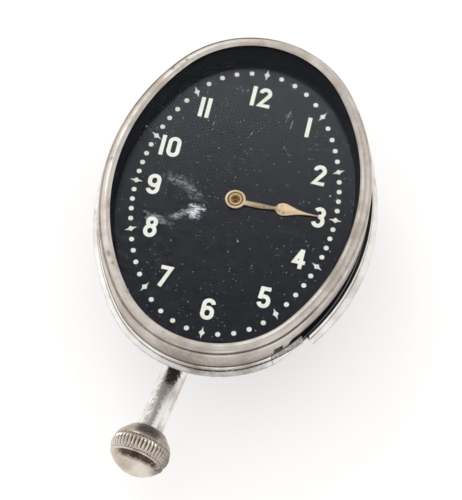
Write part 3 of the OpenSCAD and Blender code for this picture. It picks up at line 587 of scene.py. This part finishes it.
def bezel_profile(width, rise):
    """The bezel's section, as distances outside the opening and heights over the dial, and the rows where its roll,
    its skirt and its inside start. The rim is a parabola, whose height falls by the square of the distance from its
    crest. It rolls down into the groove and up to the shoulder, and the skirt drops from there to its foot."""
    bow = np.linspace(-1, 1, 17)
    rim = np.stack([RIM_MIDDLE + RIM_HALF * bow, RIM_EDGE + rise * (1 - bow ** 2)], 1)
    roll = [[2.0, 5.18], [2.1, 4.92], [2.16, 4.66], [2.22, 4.56], [2.32, 4.56], [2.4, 4.72], [2.52, 4.8],
            [width - 0.06, 4.72]]
    skirt = [[width, z] for z in (SKIRT_TOP, 3.8, 3.1, 2.4, 1.8, SLOT_TOP, 0.5, -0.3, SLOT_LOW, -1.7)]
    foot = [[width, -2.22], [width - 0.06, SKIRT_FOOT], [SKIRT_INSIDE, SKIRT_FOOT]]
    inside = [[SKIRT_INSIDE, z] for z in (SLOT_LOW, -0.3, 0.5, SLOT_TOP, 4.75)]
    lining = [[1.76, LINING_Z], [0.0, LINING_Z]]
    parts = (rim, roll, skirt, foot, inside, lining)
    roll_row, skirt_row, _, inside_row = np.cumsum([len(part) for part in parts])[:4]
    return np.vstack(parts), roll_row, skirt_row, inside_row


def cut_slot(quads, columns, rows, outer, inner):
    """Quads of a ring with a slot: those between the slot's columns are left out on the outer and the inner sheet,
    and walls join the two sheets round it."""
    start, stop = columns
    column, row = quads[:, 0] // rows, quads[:, 0] % rows
    gone = (column >= start) & (column < stop) & (
        ((row >= outer[0]) & (row < outer[-1])) | ((row >= inner[-1]) & (row < inner[0])))
    at = np.arange(start, stop) * rows
    walls = [np.stack([at + o, at + rows + o, at + rows + i, at + i], 1)
             for o, i in ((outer[0], inner[0]), (outer[-1], inner[-1]))]
    walls += [c * rows + np.stack([outer[:-1], outer[1:], inner[1:], inner[:-1]], 1) for c in columns]
    return np.vstack([quads[~gone], *walls])


def bezel_grime_and_light(turns, rows, roll, skirt):
    """Dirt and painted light by turn and row of the bezel's section: painted shade along the groove and its top,
    painted highlights on the groove and the shoulder, and dirt and stains on the rim and the skirt. Each mark is a
    table by turn times a share for each of its rows, and the marks add up. Each small dark spot on the rim is a
    bell curve of the distance from its middle."""
    marks = (
        (roll + np.arange(1, 6), GROOVE_SHADE, [0.2, 0.7, 0.85, 0.85, 0.35]),
        (roll + np.arange(1, 5), GROOVE_HIGHLIGHT, [-0.2, -0.6, -1.0, -1.0]),
        (roll + np.arange(5, 8), SHOULDER_HIGHLIGHT, [-0.9, -1.1, -0.9]),
        (roll + np.array([-1, 0, 5]), UPPER_SHADE_LINE, [0.3, 0.8, 0.7]),
        (np.arange(roll), RIM_HANDLED, tabled(np.arange(roll), ((0, 1), (8, 0.6), (14, 0)))),
        (skirt + np.arange(1, 10), SKIRT_STAIN, np.linspace(0.5, 1, 9)),
    )
    grime_and_light = np.zeros((len(turns), rows))
    for at, table, shares in marks:
        grime_and_light[:, at] += tabled(turns, table)[:, None] * shares
    for turn, row, wide in RIM_SPOTS:
        far = np.hypot((turns - turn)[:, None] / wide, (np.arange(rows) - row) / SPOT_ROWS)
        grime_and_light = np.maximum(grime_and_light, SPOT_GRIME * np.exp(-far ** 2))
    return grime_and_light


class CLOCK_OT_bezel(bpy.types.Operator):
    """Rolled rim, groove and skirt, with the skirt's slot and its cut-away lower edge"""
    bl_idname = "clock.bezel"
    bl_label = "Bezel"

    def execute(self, context):
        sizes, c = context.scene.clock_sizes, context.scene.clock_colours
        profile, roll, skirt, inside = bezel_profile(sizes.rim_width / MM, sizes.rim_rise / MM)
        out, z = profile.T
        kept = (SLOT_FROM, SLOT_TO, *np.linspace(*GAP_END))
        turns = oval_turns(sizes, 0, 360, BEZEL_STEPS + 1, kept)[:-1]
        n, m = len(turns), len(z)
        # Lower edge: rises evenly along the gap and drops at the gap's rounded end
        lift = GAP_SLOPE * np.clip(turns - GAP_FROM, 0, GAP_TO - GAP_FROM)
        lift = lift * np.sqrt(1 - np.clip((turns - GAP_TO) / GAP_ROUND, 0, 1) ** 2)
        share = np.clip((SKIRT_TOP - z) / (SKIRT_TOP - SKIRT_FOOT), 0, 1) * (np.arange(m) >= skirt)
        height = z + lift[:, None] * share
        # Groove: deep where it gets painted shade, and shallow elsewhere
        shallow = 1 - np.minimum(1.2 * tabled(turns, GROOVE_SHADE), 1)
        height[:, roll + np.arange(2, 5)] += shallow[:, None] * [0.1, 0.18, 0.18]
        x, y = oval(sizes, np.radians(turns)[:, None], out)
        co = np.stack([x, y, height + DIAL_Z], 2)
        columns = np.searchsorted(turns, [SLOT_FROM - HAIR, SLOT_TO - HAIR])
        quads = cut_slot(sheet_faces(n, m, True, True), columns, m, skirt + np.arange(5, 9),
                         inside + np.arange(3, -1, -1))
        along = np.cumsum(np.hypot(np.diff(out, prepend=out[0]), np.diff(z, prepend=z[0])))
        metal = plated_metal("Bezel nickel", c.nickel, c.tarnish, c.spot, tracked=True, reads_grime_and_light=True,
                             grain=RING_GRAIN, rough=0.42, spot_scale=2.4, spot_share=0.7)
        make_piece("bezel_dressed", co, quads, "case", "nickel", metal, ("bezel",),
                   ring_track(np.tile(along, (n, 1))), bezel_grime_and_light(turns, m, roll, skirt))
        return {"FINISHED"}


# Flange ring

TONGUE_END, TONGUE_PLATE, SLIT, LIP_END = 124.3, 129, 140.35, 482.8
SEAT_IN, SEAT_LOW, SEAT_HIGH, WALL_FOOT = 1.98, -3.45, -2.42, 3.04
SLIT_EDGES = SLIT + np.array([-0.15, -0.13, 0.13, 0.15])
SLIT_HALF, SLIT_OUT = 0.14, 2.74
TONGUE_LEAN, TONGUE_HIGHER, FLANGE_STEPS = 0.6, 0.2, 560
LIP_SPRUNG = ((74, 0), (118, 1))
LIP_WIDE = ((80, 0), (95, 1), (108, 1), (124, 0))
LIP_WIDER, LIP_LOWER = 0.4, 0.25
END_CAP = np.array([[1, 2, 3, 4], [0, 1, 4, 5], [0, 5, 12, 13], [5, 6, 7, 12], [12, 7, 8, 11], [11, 8, 9, 10]])
# The flange's section: a near-black seat, darker edges, painted highlights elsewhere, and painted shade on the
# tongue
FLANGE_GRIME_AND_LIGHT = [0.1, 0.1, 0.6, 0.6, -0.6, -0.5, 1.0, -0.2, -0.8, -0.5, 0.1, 0.3, 2.2, 2.2]
TONGUE_SHADE = [1.6, 0.75, 0.6, 0.5, 0.4]
BOTTOM_STAIN = ((138, 0), (144, 0.75), (180, 0.75), (192, 0))


def tongue_section(turns, reach):
    """Distances outside the opening of the tongue's section. Its wall leans out at the foot, by a power of the way
    to the tongue's end, and its plate narrows to nothing."""
    way = np.clip((SLIT - turns) / (SLIT - TONGUE_END), 0, 1)
    leg = WALL_FOOT + TONGUE_LEAN * way ** 1.5
    narrow = np.clip((turns - TONGUE_PLATE) / (SLIT - TONGUE_PLATE), 0, 1) ** 0.8
    plate = 0.04 + (reach - 0.04 - WALL_FOOT) * narrow
    seat = tabled(turns, ((TONGUE_PLATE, 2.7), (TONGUE_PLATE + 3, SEAT_IN)))
    top = np.full_like(turns, 2.9)
    return np.stack([
        seat, leg + 0.94 * plate, leg + plate, leg + plate, leg + 0.92 * plate, leg + 0.25 * plate,
        leg + 0.04 * plate, leg - 0.02, top + 0.1, top + 0.05, top - 0.06, top - 0.1, leg - 0.28, seat], 1)


class CLOCK_OT_flange(bpy.types.Operator):
    """Split spring ring round the bezel, with its sprung lip and the short tongue at its other end"""
    bl_idname = "clock.flange"
    bl_label = "Flange ring"

    def execute(self, context):
        sizes, c = context.scene.clock_sizes, context.scene.clock_colours
        reach, spring = sizes.flange_reach / MM, sizes.lip_spring / MM
        turns = oval_turns(sizes, TONGUE_END, LIP_END, FLANGE_STEPS, (*SLIT_EDGES, LIP_END))
        # Section: a seat under the bezel, a plate outside it and a low wall between them
        section = np.array([
            [SEAT_IN, SEAT_LOW], [reach - 0.06, -3.5], [reach, -3.46], [reach, -3.1], [reach - 0.08, -3.01],
            [3.24, -2.82], [WALL_FOOT, -2.72], [3.0, -2.34], [3.0, -1.08], [2.95, -1.0], [2.8, -1.0],
            [2.76, -1.06], [2.76, SEAT_HIGH], [SEAT_IN, SEAT_HIGH]])
        n, m = len(turns), len(section)
        out, up = (np.tile(row, (n, 1)) for row in section.T)
        on_tongue = turns < SLIT
        out[on_tongue] = tongue_section(turns[on_tongue], reach)
        up[on_tongue, 8:12] += TONGUE_HIGHER
        # Slit: only the seat goes on through it
        cut = np.abs(turns - SLIT) < SLIT_HALF
        out[cut, 1:13] = SLIT_OUT
        up[cut] = np.clip(up[cut], SEAT_LOW, SEAT_HIGH)
        # Lip: moves out along a quarter wave, and its plate is wider for a stretch
        lip = turns - 360
        sprung = np.sin(np.pi / 2 * tabled(lip, LIP_SPRUNG)) ** 0.9
        wide = tabled(lip, LIP_WIDE)
        out[:, 1:5] += (LIP_WIDER * wide * wide * (3 - 2 * wide))[:, None]
        up[:, 1:5] -= (LIP_LOWER * sprung)[:, None]
        out += (spring * sprung)[:, None]
        x, y = oval(sizes, np.radians(turns)[:, None], out)
        co = np.stack([x, y, up + DIAL_Z], 2)
        quads = np.vstack([sheet_faces(n, m, False, True), END_CAP, END_CAP[:, ::-1] + (n - 1) * m])
        # The seat is painted near black, the plate's edge and wall's foot darker, and the rest gets a painted
        # highlight
        grime_and_light = np.tile(FLANGE_GRIME_AND_LIGHT, (n, 1))
        grime_and_light[:, 4:11] += tabled(turns, BOTTOM_STAIN)[:, None]
        # The tongue's wall gets painted shade
        grime_and_light[on_tongue, 6:11] = TONGUE_SHADE
        metal = plated_metal("Flange nickel", c.pale, c.tarnish, c.flange_dirt_and_shade, tracked=True, reads_grime_and_light=True,
                             grain=RING_GRAIN, rough=0.48, spot_share=0.4)
        make_piece("flange_dressed", co, quads, "case", "nickel", metal, ("flange_ring",),
                   ring_track(out + up), grime_and_light)
        return {"FINISHED"}


# Stem tube and crown

TUBE_BORE, TUBE_FROM, TUBE_TO, TUBE_SIDES = 2.0, 23.7, 53.8, 96
TUBE_WAVE = 0.012
CROWN_BACK, RIBS, RIB_STEPS = 52.7, 46, 12
BELT_FROM, BELT_TO, BELT_MIDDLE, BELT_HALF, BELT_FALL = 4.85, 8.3, 5.94, 2.34, 0.55
DOME_FOOT, DOME_RISE, DOME_RADIUS = 8.8, 3.15, 6.06
CROWN_REAR = np.array([
    [1.5, 1.05], [1.5, 3.2], [1.0, 3.2], [0.92, 3.35], [0.98, 3.6], [1.15, 4.0], [1.5, 4.5], [2.0, 4.95],
    [2.5, 5.36], [3.06, 5.84], [3.5, 6.19], [4.06, 6.49], [4.5, 6.64], [4.75, 6.68]])
CROWN_LIP = np.array([[8.36, 6.0], [8.43, 6.06], [8.5, 6.28], [8.57, 6.33], [8.66, 6.28], [8.74, 6.15]])
CROWN_BORE = np.array([[4.0, 1.05], [4.0, 0.0]])
# Painted reflections on the rear and under the lip, a darker undercut, and painted shade on the crown's right side
REAR_REFLECTION = ((0, 0.3), (30, 0.5), (80, 0.5), (115, 0.2), (180, 0.2), (360, 0.3))
LIP_DARK = [[0.9], [0.8], [0.2]]
UNDER_LIP = ((8.8, 0.2), (8.95, 1.0), (9.6, 1.0), (10.4, 0.0))
RIGHT_SIDE = ((4.8, 0), (5.2, 1), (9.7, 1), (10.9, 0))
CRESCENT_AT, CRESCENT_HALF, CRESCENT_REFLECTION = 78, 56, 1.8
RIGHT_AT, RIGHT_HALF = -4, 42


def tube_shape(radius):
    """The stem tube: its outside with a faint waviness, a sine along it times a sine round it, then a rounded end
    and the bore."""
    along = np.concatenate([np.linspace(TUBE_FROM, TUBE_TO - 0.2, 60), [TUBE_TO - 0.06, TUBE_TO, TUBE_TO],
                            np.linspace(TUBE_TO, TUBE_FROM, 12)])
    across = np.concatenate([np.full(60, radius), [radius - 0.06, radius - 0.2, TUBE_BORE], np.full(12, TUBE_BORE)])
    around = np.linspace(0, 2 * np.pi, TUBE_SIDES, endpoint=False)
    wave = TUBE_WAVE * np.sin(along * 1.3)[:, None] * np.sin(2 * around + 1) * (across > TUBE_BORE)[:, None]
    return on_stem(along[:, None], across[:, None] + wave, around), sheet_faces(len(along), TUBE_SIDES, True, True)


def crown_shape(ball, depth):
    """The crown's points, quads and the values of dirt and painted light on them. It is a turned form: a hollow
    rear, a belt whose radius falls by the square of the distance from its middle, a lip, and a dome made of powers
    of sine and cosine. Ribs stand on the belt, where the radius grows by a rounded cosine pulse round the axis that
    swells along the belt."""
    belt_along = np.linspace(BELT_FROM, BELT_TO, 21)
    belt = np.stack([belt_along, ball - depth - BELT_FALL * ((belt_along - BELT_MIDDLE) / BELT_HALF) ** 2], 1)
    b = np.linspace(0, np.pi / 2, 26)
    dome = np.stack([DOME_FOOT + DOME_RISE * np.sin(b) ** 1.7, DOME_RADIUS * np.cos(b) ** 0.95], 1)
    dome[-1, 1] = 0.0
    along, across = np.vstack([CROWN_REAR, belt, CROWN_LIP, dome]).T
    rear, lip = len(CROWN_REAR), len(CROWN_REAR) + len(belt)
    swell = np.zeros((len(along), 1))
    swell[rear:lip, 0] = np.sin(np.pi * np.linspace(0, 1, len(belt))) ** 0.45
    count = RIBS * RIB_STEPS
    around = np.linspace(0, 2 * np.pi, count, endpoint=False)
    pulse = (0.5 + 0.5 * np.cos(RIBS * around)) ** 0.7
    co = on_stem(along[:, None] + CROWN_BACK, across[:, None] + depth * swell * pulse, around)
    bore = on_stem(CROWN_BORE[:, :1] + CROWN_BACK, CROWN_BORE[:, 1:], around)
    parts = joined([(co.reshape(-1, 3), sheet_faces(len(along), count, False, True)),
                    (np.vstack([co[0], *bore]), sheet_faces(3, count, False, True))])
    # Dirt between the ribs and painted highlights on their tips, a painted reflection on the rear, a darker
    # undercut
    #     # before the lip, and under the lip a painted dark reflection that makes a crescent on the dome
    degrees = np.degrees(around)
    grime_and_light = swell * ((1 - pulse) ** 1.2 - 0.5 * pulse ** 4)
    grime_and_light[:rear] = tabled(degrees, REAR_REFLECTION)
    grime_and_light[lip:lip + 3] = LIP_DARK
    crescent = CRESCENT_REFLECTION * np.exp(-((degrees - CRESCENT_AT) / CRESCENT_HALF) ** 4)
    grime_and_light[-len(dome):] = tabled(dome[:, :1], UNDER_LIP) * crescent
    # Right side: painted shade from the ribs to the edge of the dome
    off = (degrees - RIGHT_AT + 180) % 360 - 180
    right_shade = tabled(along[:, None], RIGHT_SIDE) * np.exp(-(off / RIGHT_HALF) ** 2)
    grime_and_light = np.maximum(grime_and_light, right_shade * np.where(swell > 0, 0.65, 1.1))
    return *parts, np.concatenate([grime_and_light.ravel(), np.zeros(3 * count)])


class CLOCK_OT_stem(bpy.types.Operator):
    """Plated stem tube and ball-shaped crown with its ribbed belt"""
    bl_idname = "clock.stem"
    bl_label = "Stem tube and crown"

    def execute(self, context):
        sizes, c = context.scene.clock_sizes, context.scene.clock_colours
        metal = plated_metal("Tube nickel", c.pale, c.tarnish, c.spot, rough=0.28, spot_scale=0.9, painted_light=tube_painted_reflections)
        co, quads = tube_shape(sizes.tube_radius / MM)
        make_piece("stem_tube_dressed", co, quads, "case", "nickel", metal, ("stem_tube",))
        co, quads, grime_and_light = crown_shape(sizes.crown_radius / MM, sizes.rib_depth / MM)
        metal = plated_metal("Ball nickel", c.ball, c.ball_dull, c.ball_dirt_and_shade, rough=0.2, spot_scale=1.0, reads_grime_and_light=True)
        make_piece("crown_dressed", co, quads, "stem", "nickel", metal, ("crown",), grime_and_light=grime_and_light, sharp=60)
        return {"FINISHED"}


# Hour hand

HUB_RING = np.array([[1.84, 0.0], [2.25, 0.0], [2.38, 0.1], [2.4, 0.22], [2.34, 0.34], [2.2, 0.4], [1.95, 0.4],
                     [1.84, 0.36]])
HUB_SIDES = 72
BLADE_HALF = ((2.0, 0.62), (2.6, 0.56), (3.4, 0.6), (4.6, 0.66), (6.2, 0.62), (8.0, 0.44), (9.2, 0.34), (9.5, 0.42),
              (9.7, 0.8), (10.0, 1.18), (10.6, 1.5), (11.2, 1.58), (11.8, 1.52), (12.6, 1.26), (13.6, 0.9),
              (14.6, 0.62), (15.6, 0.4), (17.0, 0.24), (18.4, 0.16))
TIP_HALF = 0.1
ARM_FROM, ARM_TO, SPADE_FROM = 2.0, 9.4, 9.5
BLADE_EDGE, BLADE_DOME = 0.22, 0.18
BLADE_MIDDLE = ((2.0, -0.38), (4.0, -0.42), (7.0, -0.38), (9.5, -0.22), (11.3, -0.12), (14.0, -0.1))
GILT_AGE = ((2.3, 0.3), (3.2, 0.5), (5.0, 0.85), (8.4, 0.7), (9.6, 0.75), (10.2, 0.35), (12.0, 0.1))
GILT_DOTS, DOT_RADIUS = ((10.7, 0.6), (10.4, -0.75), (11.5, -1.1)), 0.3


def smoothed(values):
    """A running mean of five values, with the two at each end kept."""
    return np.concatenate([values[:2], np.convolve(values, np.ones(5) / 5, "valid"), values[-2:]])


def hand_blade(low, length):
    """The hand's arm and spade: half widths and a bowed middle line along the hand, read off tables and smoothed,
    with a top that is domed by a root of the distance across it over a flat underside."""
    x = np.concatenate([np.linspace(ARM_FROM, ARM_TO, 40), np.linspace(SPADE_FROM, length, 80)])[:, None]
    half = smoothed(tabled(x[:, 0], (*BLADE_HALF, (length, TIP_HALF))))
    middle = smoothed(tabled(x[:, 0], BLADE_MIDDLE))
    across = np.linspace(-1, 1, 13)
    dome = BLADE_EDGE + BLADE_DOME * np.sqrt(1 - 0.9 * across ** 2)
    top = np.stack([x + 0 * across, middle[:, None] + half[:, None] * across, low + dome + 0 * x], 2)
    under = top[:, ::-1].copy()
    under[:, :, 2] = low
    blade = np.concatenate([top, under], 1)
    n, m = blade.shape[:2]
    j = np.arange(len(across) - 1)
    cap = np.stack([j, j + 1, m - 2 - j, m - 1 - j], 1)
    return blade.reshape(-1, 3), np.vstack([sheet_faces(n, m, False, True), cap, cap[:, ::-1] + (n - 1) * m])


class CLOCK_OT_hand(bpy.types.Operator):
    """Gilt hour hand with a ring hub, a slim bowed arm and a pear-shaped spade"""
    bl_idname = "clock.hand"
    bl_label = "Hour hand"

    def execute(self, context):
        c = context.scene.clock_colours
        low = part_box("hour_hand")[0].z / MM
        a = np.linspace(0, 2 * np.pi, HUB_SIDES, endpoint=False)
        r, z = HUB_RING[:, :1], HUB_RING[:, 1:]
        hub = np.stack([r * np.cos(a), r * np.sin(a), low + z + 0 * a], 2)
        co, quads = joined([(hub.reshape(-1, 3), sheet_faces(len(HUB_RING), HUB_SIDES, True, True)),
                            hand_blade(low, context.scene.clock_sizes.hand_length / MM)])
        aged = tabled(co[:, 0], GILT_AGE)
        for x, y in GILT_DOTS:
            aged = np.maximum(aged, np.exp(-np.hypot(co[:, 0] - x, co[:, 1] - y) ** 2 / DOT_RADIUS ** 2))
        metal = plated_metal("Aged gilt", c.gilt, c.gilt_dull, c.gilt_spot, rough=0.34, cloud_scale=0.5,
                             spot_scale=1.7, spot_share=0.9, grain=(6, 6, 6), reads_grime_and_light=True)
        make_piece("hour_hand_dressed", co, quads, "hour", "gilt", metal, ("hour_hand",), grime_and_light=aged)
        return {"FINISHED"}


# Numerals

DIGIT_WIDTH, DIGIT_GAP = 2.1, 1.62
PAINT_THICK, STROKE_STEP = 0.08, 0.004
NUMERALS = (
    ("12", 0.2, 28.1), ("1", 12.4, 22.6), ("2", 17.7, 10.7), ("3", 19.55, -0.1), ("4", 17.6, -11.3),
    ("5", 11.8, -22.7), ("6", 0.05, -28.35), ("7", -11.4, -22.55), ("8", -17.3, -11.05), ("9", -19.25, -0.1),
    ("10", -17.8, 10.45), ("11", -12.3, 22.45),
)


def digit_strokes(w, h, half):
    """Centre lines of the digits in a box w by h, each as a path and whether it closes. Bars run half a stroke
    past the box."""
    bowl, low_three, low_eight = w / 2, (h - 2.0) / 2, (h - 1.96) / 2

    def line(*points):
        return np.array(points), False

    def bend(y, start, stop):
        return arc(bowl, y, bowl, bowl, start, stop)

    nine = [(np.vstack([bend(h - bowl, 180, 0), bend(h - 1.45, 0, -180)]), True),
            (np.vstack([[[w, h - 1.2]], bend(bowl, 0, -168)]), False)]
    return {
        "0": [(np.vstack([bend(h - bowl, 180, 0), bend(bowl, 0, -180)]), True)],
        "1": [line([0.0, -half], [0.0, h / 2], [0.0, h + half])],
        "2": [(np.vstack([bend(h - bowl, 178, -34), [[0.12, 0.0], [w + half, 0.0]]]), False)],
        "3": [(arc(bowl, h - 1.0, bowl - 0.1, 1.0, 152, -100), False),
              (arc(bowl, low_three, bowl, low_three, 100, -165), False)],
        "4": [line([0.66 * w, h], [-0.1, 0.27 * h], [w + 0.3, 0.27 * h]),
              line([0.66 * w, -half], [0.66 * w, h / 2], [0.66 * w, h + 0.1])],
        "5": [line([w + 0.1, h], [0.3, h], [0.1, 1.75]),
              (arc(bowl, 1.22, bowl + 0.02, 1.22, 118, -162, 24), False)],
        "6": [(np.array([w, h]) - path, closed) for path, closed in nine],
        "7": [line([-0.2, h], [w, h], [0.35, -half])],
        "8": [(arc(bowl, h - 0.98, bowl - 0.16, 0.98, 0, 360, 33)[:-1], True),
              (arc(bowl, low_eight, bowl, low_eight, 0, 360, 33)[:-1], True)],
        "9": nine,
    }


class CLOCK_OT_numerals(bpy.types.Operator):
    """Twelve plain numerals in thick cream paint"""
    bl_idname = "clock.numerals"
    bl_label = "Numerals"

    def execute(self, context):
        sizes = context.scene.clock_sizes
        wide = sizes.numeral_stroke / MM
        h = sizes.numeral_height / MM - wide
        digits = digit_strokes(DIGIT_WIDTH, h, wide / 2)
        parts = []
        for word, x, y in NUMERALS:
            at, drawn = 0.0, []
            for letter in word:
                paths = digits[letter]
                drawn += [(path + [at, 0.0], closed) for path, closed in paths]
                at += max(path[:, 0].max() for path, _ in paths) + DIGIT_GAP
            every = np.vstack([path for path, _ in drawn])
            shift = np.array([x, y]) - [(every[:, 0].min() + every[:, 0].max()) / 2, h / 2]
            parts += [stroke(path + shift, wide, DIAL_Z, DIAL_Z + PAINT_THICK + STROKE_STEP * i, closed)
                      for i, (path, closed) in enumerate(drawn)]
        paint = cream_paint("Cream paint", context.scene.clock_colours.paint)
        make_piece("numerals", *joined(parts), "case", "luminous", paint)
        return {"FINISHED"}


# Case, dial, glass and movement

SMEARS = (
    ((-8.5, -4.9), (3.0, 2.3), 35.0, 1.9), ((-11.2, -6.2), (4.2, 1.1), 32.0, 0.7),
    ((-13.8, 2.1), (4.6, 1.9), -12.0, 0.36), ((-10.2, 0.2), (4.0, 2.0), -42.0, 0.42),
    ((-17.2, -8.6), (2.8, 1.5), -10.0, 0.9), ((-15.0, -8.9), (3.4, 0.8), -8.0, 0.4),
    ((7.2, 24.4), (0.35, 2.6), -12.0, 0.5), ((8.4, 22.4), (0.3, 2.2), -6.0, 0.4),
)
PIPE_NODES = ("hour_wheel", "cannon_pinion", "centre_wheel")
MOVEMENT_GRAIN = (8, 0.8, 8)


def slot_nodes(slot):
    """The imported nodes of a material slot, apart from the hand pipes, which have a finish of their own."""
    return [part["node"] for part in frame["record"]["subparts"]
            if part["material_slot"] == slot and part["node"] not in PIPE_NODES]


class CLOCK_OT_case(bpy.types.Operator):
    """Finishes of the case, the dial, its marks and the glass"""
    bl_idname = "clock.case"
    bl_label = "Case, dial and glass"

    def execute(self, context):
        c = context.scene.clock_colours
        dress(("dial",), satin_black("Dial black", c.dial, c.dust, rough=0.16, gloss=0.85, specks=0.75,
                                     smears=SMEARS, grain=0.004))
        dress(("dial_ring",), satin_black("Ring black", c.japan, c.dust, rough=0.6, gloss=0.15, specks=0.5))
        dress(("case_body", "tube_boss"),
              satin_black("Black japan", c.japan, c.dust, rough=0.5, gloss=0.25, specks=0.12))
        dress(("minute_markers",), cream_paint("Cream paint", c.paint))
        dress(("crystal",), clear_glass("Clear glass", c.glass))
        dress(("rear_cover",),
              plated_metal("Cover nickel", c.nickel, c.tarnish, c.spot, rough=0.3, spot_scale=0.8))
        return {"FINISHED"}


class CLOCK_OT_movement(bpy.types.Operator):
    """Brass and steel of the movement"""
    bl_idname = "clock.movement"
    bl_label = "Movement"

    def execute(self, context):
        c = context.scene.clock_colours
        for nodes, name, painted_light in (
                (slot_nodes("brass"), "Movement brass", None), (PIPE_NODES, "Pipe brass", pipe_painted_shade)):
            dress(nodes, plated_metal(name, c.brass, c.brass_dull, c.brass_spot, rough=0.28, cloud_scale=0.3,
                                      spot_scale=2.0, spot_share=0.5, grain=MOVEMENT_GRAIN, painted_light=painted_light))
        dress(slot_nodes("steel"), plated_metal(
            "Movement steel", c.steel, c.steel_dull, c.steel_spot, rough=0.22, cloud_scale=0.4, spot_scale=2.4,
            spot_share=0.4, grain=MOVEMENT_GRAIN))
        return {"FINISHED"}


# Stage

FLOOR_HALF, FLOOR_Z = 2.0, -0.0001
WHITE = (1.0, 1.0, 1.0)
LAMPS = (
    ("key_lamp", (-0.36, 0.46, 0.62), (0.0, 0.0, 0.0), 0.30, 1.0, (1.0, 0.985, 0.97)),
    ("left_lamp", (-0.75, -0.10, 0.45), (0.0, 0.0, 0.0), 0.45, 0.3, WHITE),
    ("front_lamp", (0.15, -0.85, 0.40), (0.0, -0.02, 0.0), 0.40, 0.5, WHITE),
)
SKY_PALE, SKY_DARK = (0.95, 0.94, 0.93), (0.15, 0.15, 0.16)
FAR_BAND, NEAR_BAND = ((0.500, 0.456), (0.16, 0.3)), ((-0.45, -0.6), (-0.985, -0.9))
BAND_HALF, BAND_RISE = (0.5, 0.3), (0.0, 0.2)
CAMERA_AT = (46.829, -232.893, 474.944)
CAMERA_RIGHT = (0.975500, 0.219790, 0.010087)
CAMERA_DOWN = (0.200637, -0.869769, -0.450825)
CAMERA_FORWARD = (-0.090315, 0.441807, -0.892558)
CAMERA_LENS = 158.19


def paper_floor(scene):
    """A flat square sheet under the clock, as a grid of two steps a side."""
    side = np.linspace(-FLOOR_HALF, FLOOR_HALF, 3)
    x, y = (a.ravel() for a in np.meshgrid(side, side, indexing="ij"))
    mesh = bpy.data.meshes.new("paper_floor")
    co = np.stack([x, y, np.full_like(x, FLOOR_Z)], 1)
    mesh.from_pydata(co.tolist(), [], sheet_faces(3, 3)[:, ::-1].tolist())
    mesh.materials.append(paper("White paper", scene.clock_colours.paper))
    floor = bpy.data.objects.new("paper_floor", mesh)
    scene.collection.objects.link(floor)


def area_lamp(scene, name, at, towards, size, power, tint):
    """A square soft lamp at a place in metres, facing a point."""
    data = bpy.data.lights.new(name, "AREA")
    data.size = size
    data.energy = power
    data.color = tint
    lamp = bpy.data.objects.new(name, data)
    lamp.location = at
    lamp.rotation_euler = (Vector(towards) - Vector(at)).to_track_quat("-Z", "Y").to_euler()
    scene.collection.objects.link(lamp)


def surroundings(scene):
    """White surroundings, with two dark bands overhead that only mirrors show, and plain white to the camera."""
    world = bpy.data.worlds.new("surroundings")
    scene.world = world
    world.use_nodes = True
    tree = world.node_tree
    sky = next(n for n in tree.nodes if n.type == "BACKGROUND")
    way = node(tree, "TexCoord").outputs["Generated"]
    x, y, z = node(tree, "SeparateXYZ", {0: way}).outputs
    bands = [times(ramp(y, *upper), ramp(y, *lower)) for upper, lower in (FAR_BAND, NEAR_BAND)]
    middle = ramp(maths("ABSOLUTE", x), *BAND_HALF)
    rays = node(tree, "LightPath").outputs
    dark = times(larger(*bands), middle, ramp(z, *BAND_RISE), rays["Is Glossy Ray"])
    tone = blended(dark, opaque(SKY_PALE), opaque(SKY_DARK))
    feed(sky, {"Color": blended(rays["Is Camera Ray"], tone, opaque(WHITE)), "Strength": 1.0})


def photo_camera(scene):
    """The camera at the photograph's place."""
    data = bpy.data.cameras.new("photo_camera")
    data.sensor_width = 36.0
    data.sensor_fit = "AUTO"
    data.lens = CAMERA_LENS
    data.clip_start = 0.01
    data.clip_end = 10.0
    camera = bpy.data.objects.new("photo_camera", data)
    turn = Matrix((CAMERA_RIGHT, [-v for v in CAMERA_DOWN], [-v for v in CAMERA_FORWARD])).transposed()
    camera.matrix_world = Matrix.Translation(Vector(CAMERA_AT) * MM) @ turn.to_4x4()
    scene.collection.objects.link(camera)
    scene.camera = camera


class CLOCK_OT_stage(bpy.types.Operator):
    """Paper floor, soft lamps, pale surroundings and the camera"""
    bl_idname = "clock.stage"
    bl_label = "Stage"

    def execute(self, context):
        scene = context.scene
        paper_floor(scene)
        for lamp in LAMPS:
            area_lamp(scene, *lamp)
        surroundings(scene)
        photo_camera(scene)
        scene.view_settings.view_transform = "Standard"
        return {"FINISHED"}


# Panel and registration

MAKERS = (CLOCK_OT_stage, CLOCK_OT_case, CLOCK_OT_bezel, CLOCK_OT_flange, CLOCK_OT_stem, CLOCK_OT_hand,
          CLOCK_OT_numerals, CLOCK_OT_movement)


class CLOCK_PT_pieces(bpy.types.Panel):
    """The clock's pieces, one button each"""
    bl_idname = "CLOCK_PT_pieces"
    bl_label = "Dashboard clock"
    bl_space_type = "VIEW_3D"
    bl_region_type = "UI"
    bl_category = "Clock"

    def draw(self, context):
        for maker in MAKERS:
            self.layout.operator(maker.bl_idname)


CLASSES = (ClockSizes, ClockColours, *MAKERS, CLOCK_PT_pieces)


def register():
    for made in CLASSES:
        bpy.utils.register_class(made)
    bpy.types.Scene.clock_sizes = bpy.props.PointerProperty(type=ClockSizes)
    bpy.types.Scene.clock_colours = bpy.props.PointerProperty(type=ClockColours)


def unregister():
    del bpy.types.Scene.clock_sizes
    del bpy.types.Scene.clock_colours
    for made in reversed(CLASSES):
        bpy.utils.unregister_class(made)


def main():
    """Makes every piece in order."""
    register()
    bpy.ops.clock.stage()
    bpy.ops.clock.case()
    bpy.ops.clock.bezel()
    bpy.ops.clock.flange()
    bpy.ops.clock.stem()
    bpy.ops.clock.hand()
    bpy.ops.clock.numerals()
    bpy.ops.clock.movement()


if __name__ == "__main__":
    main()
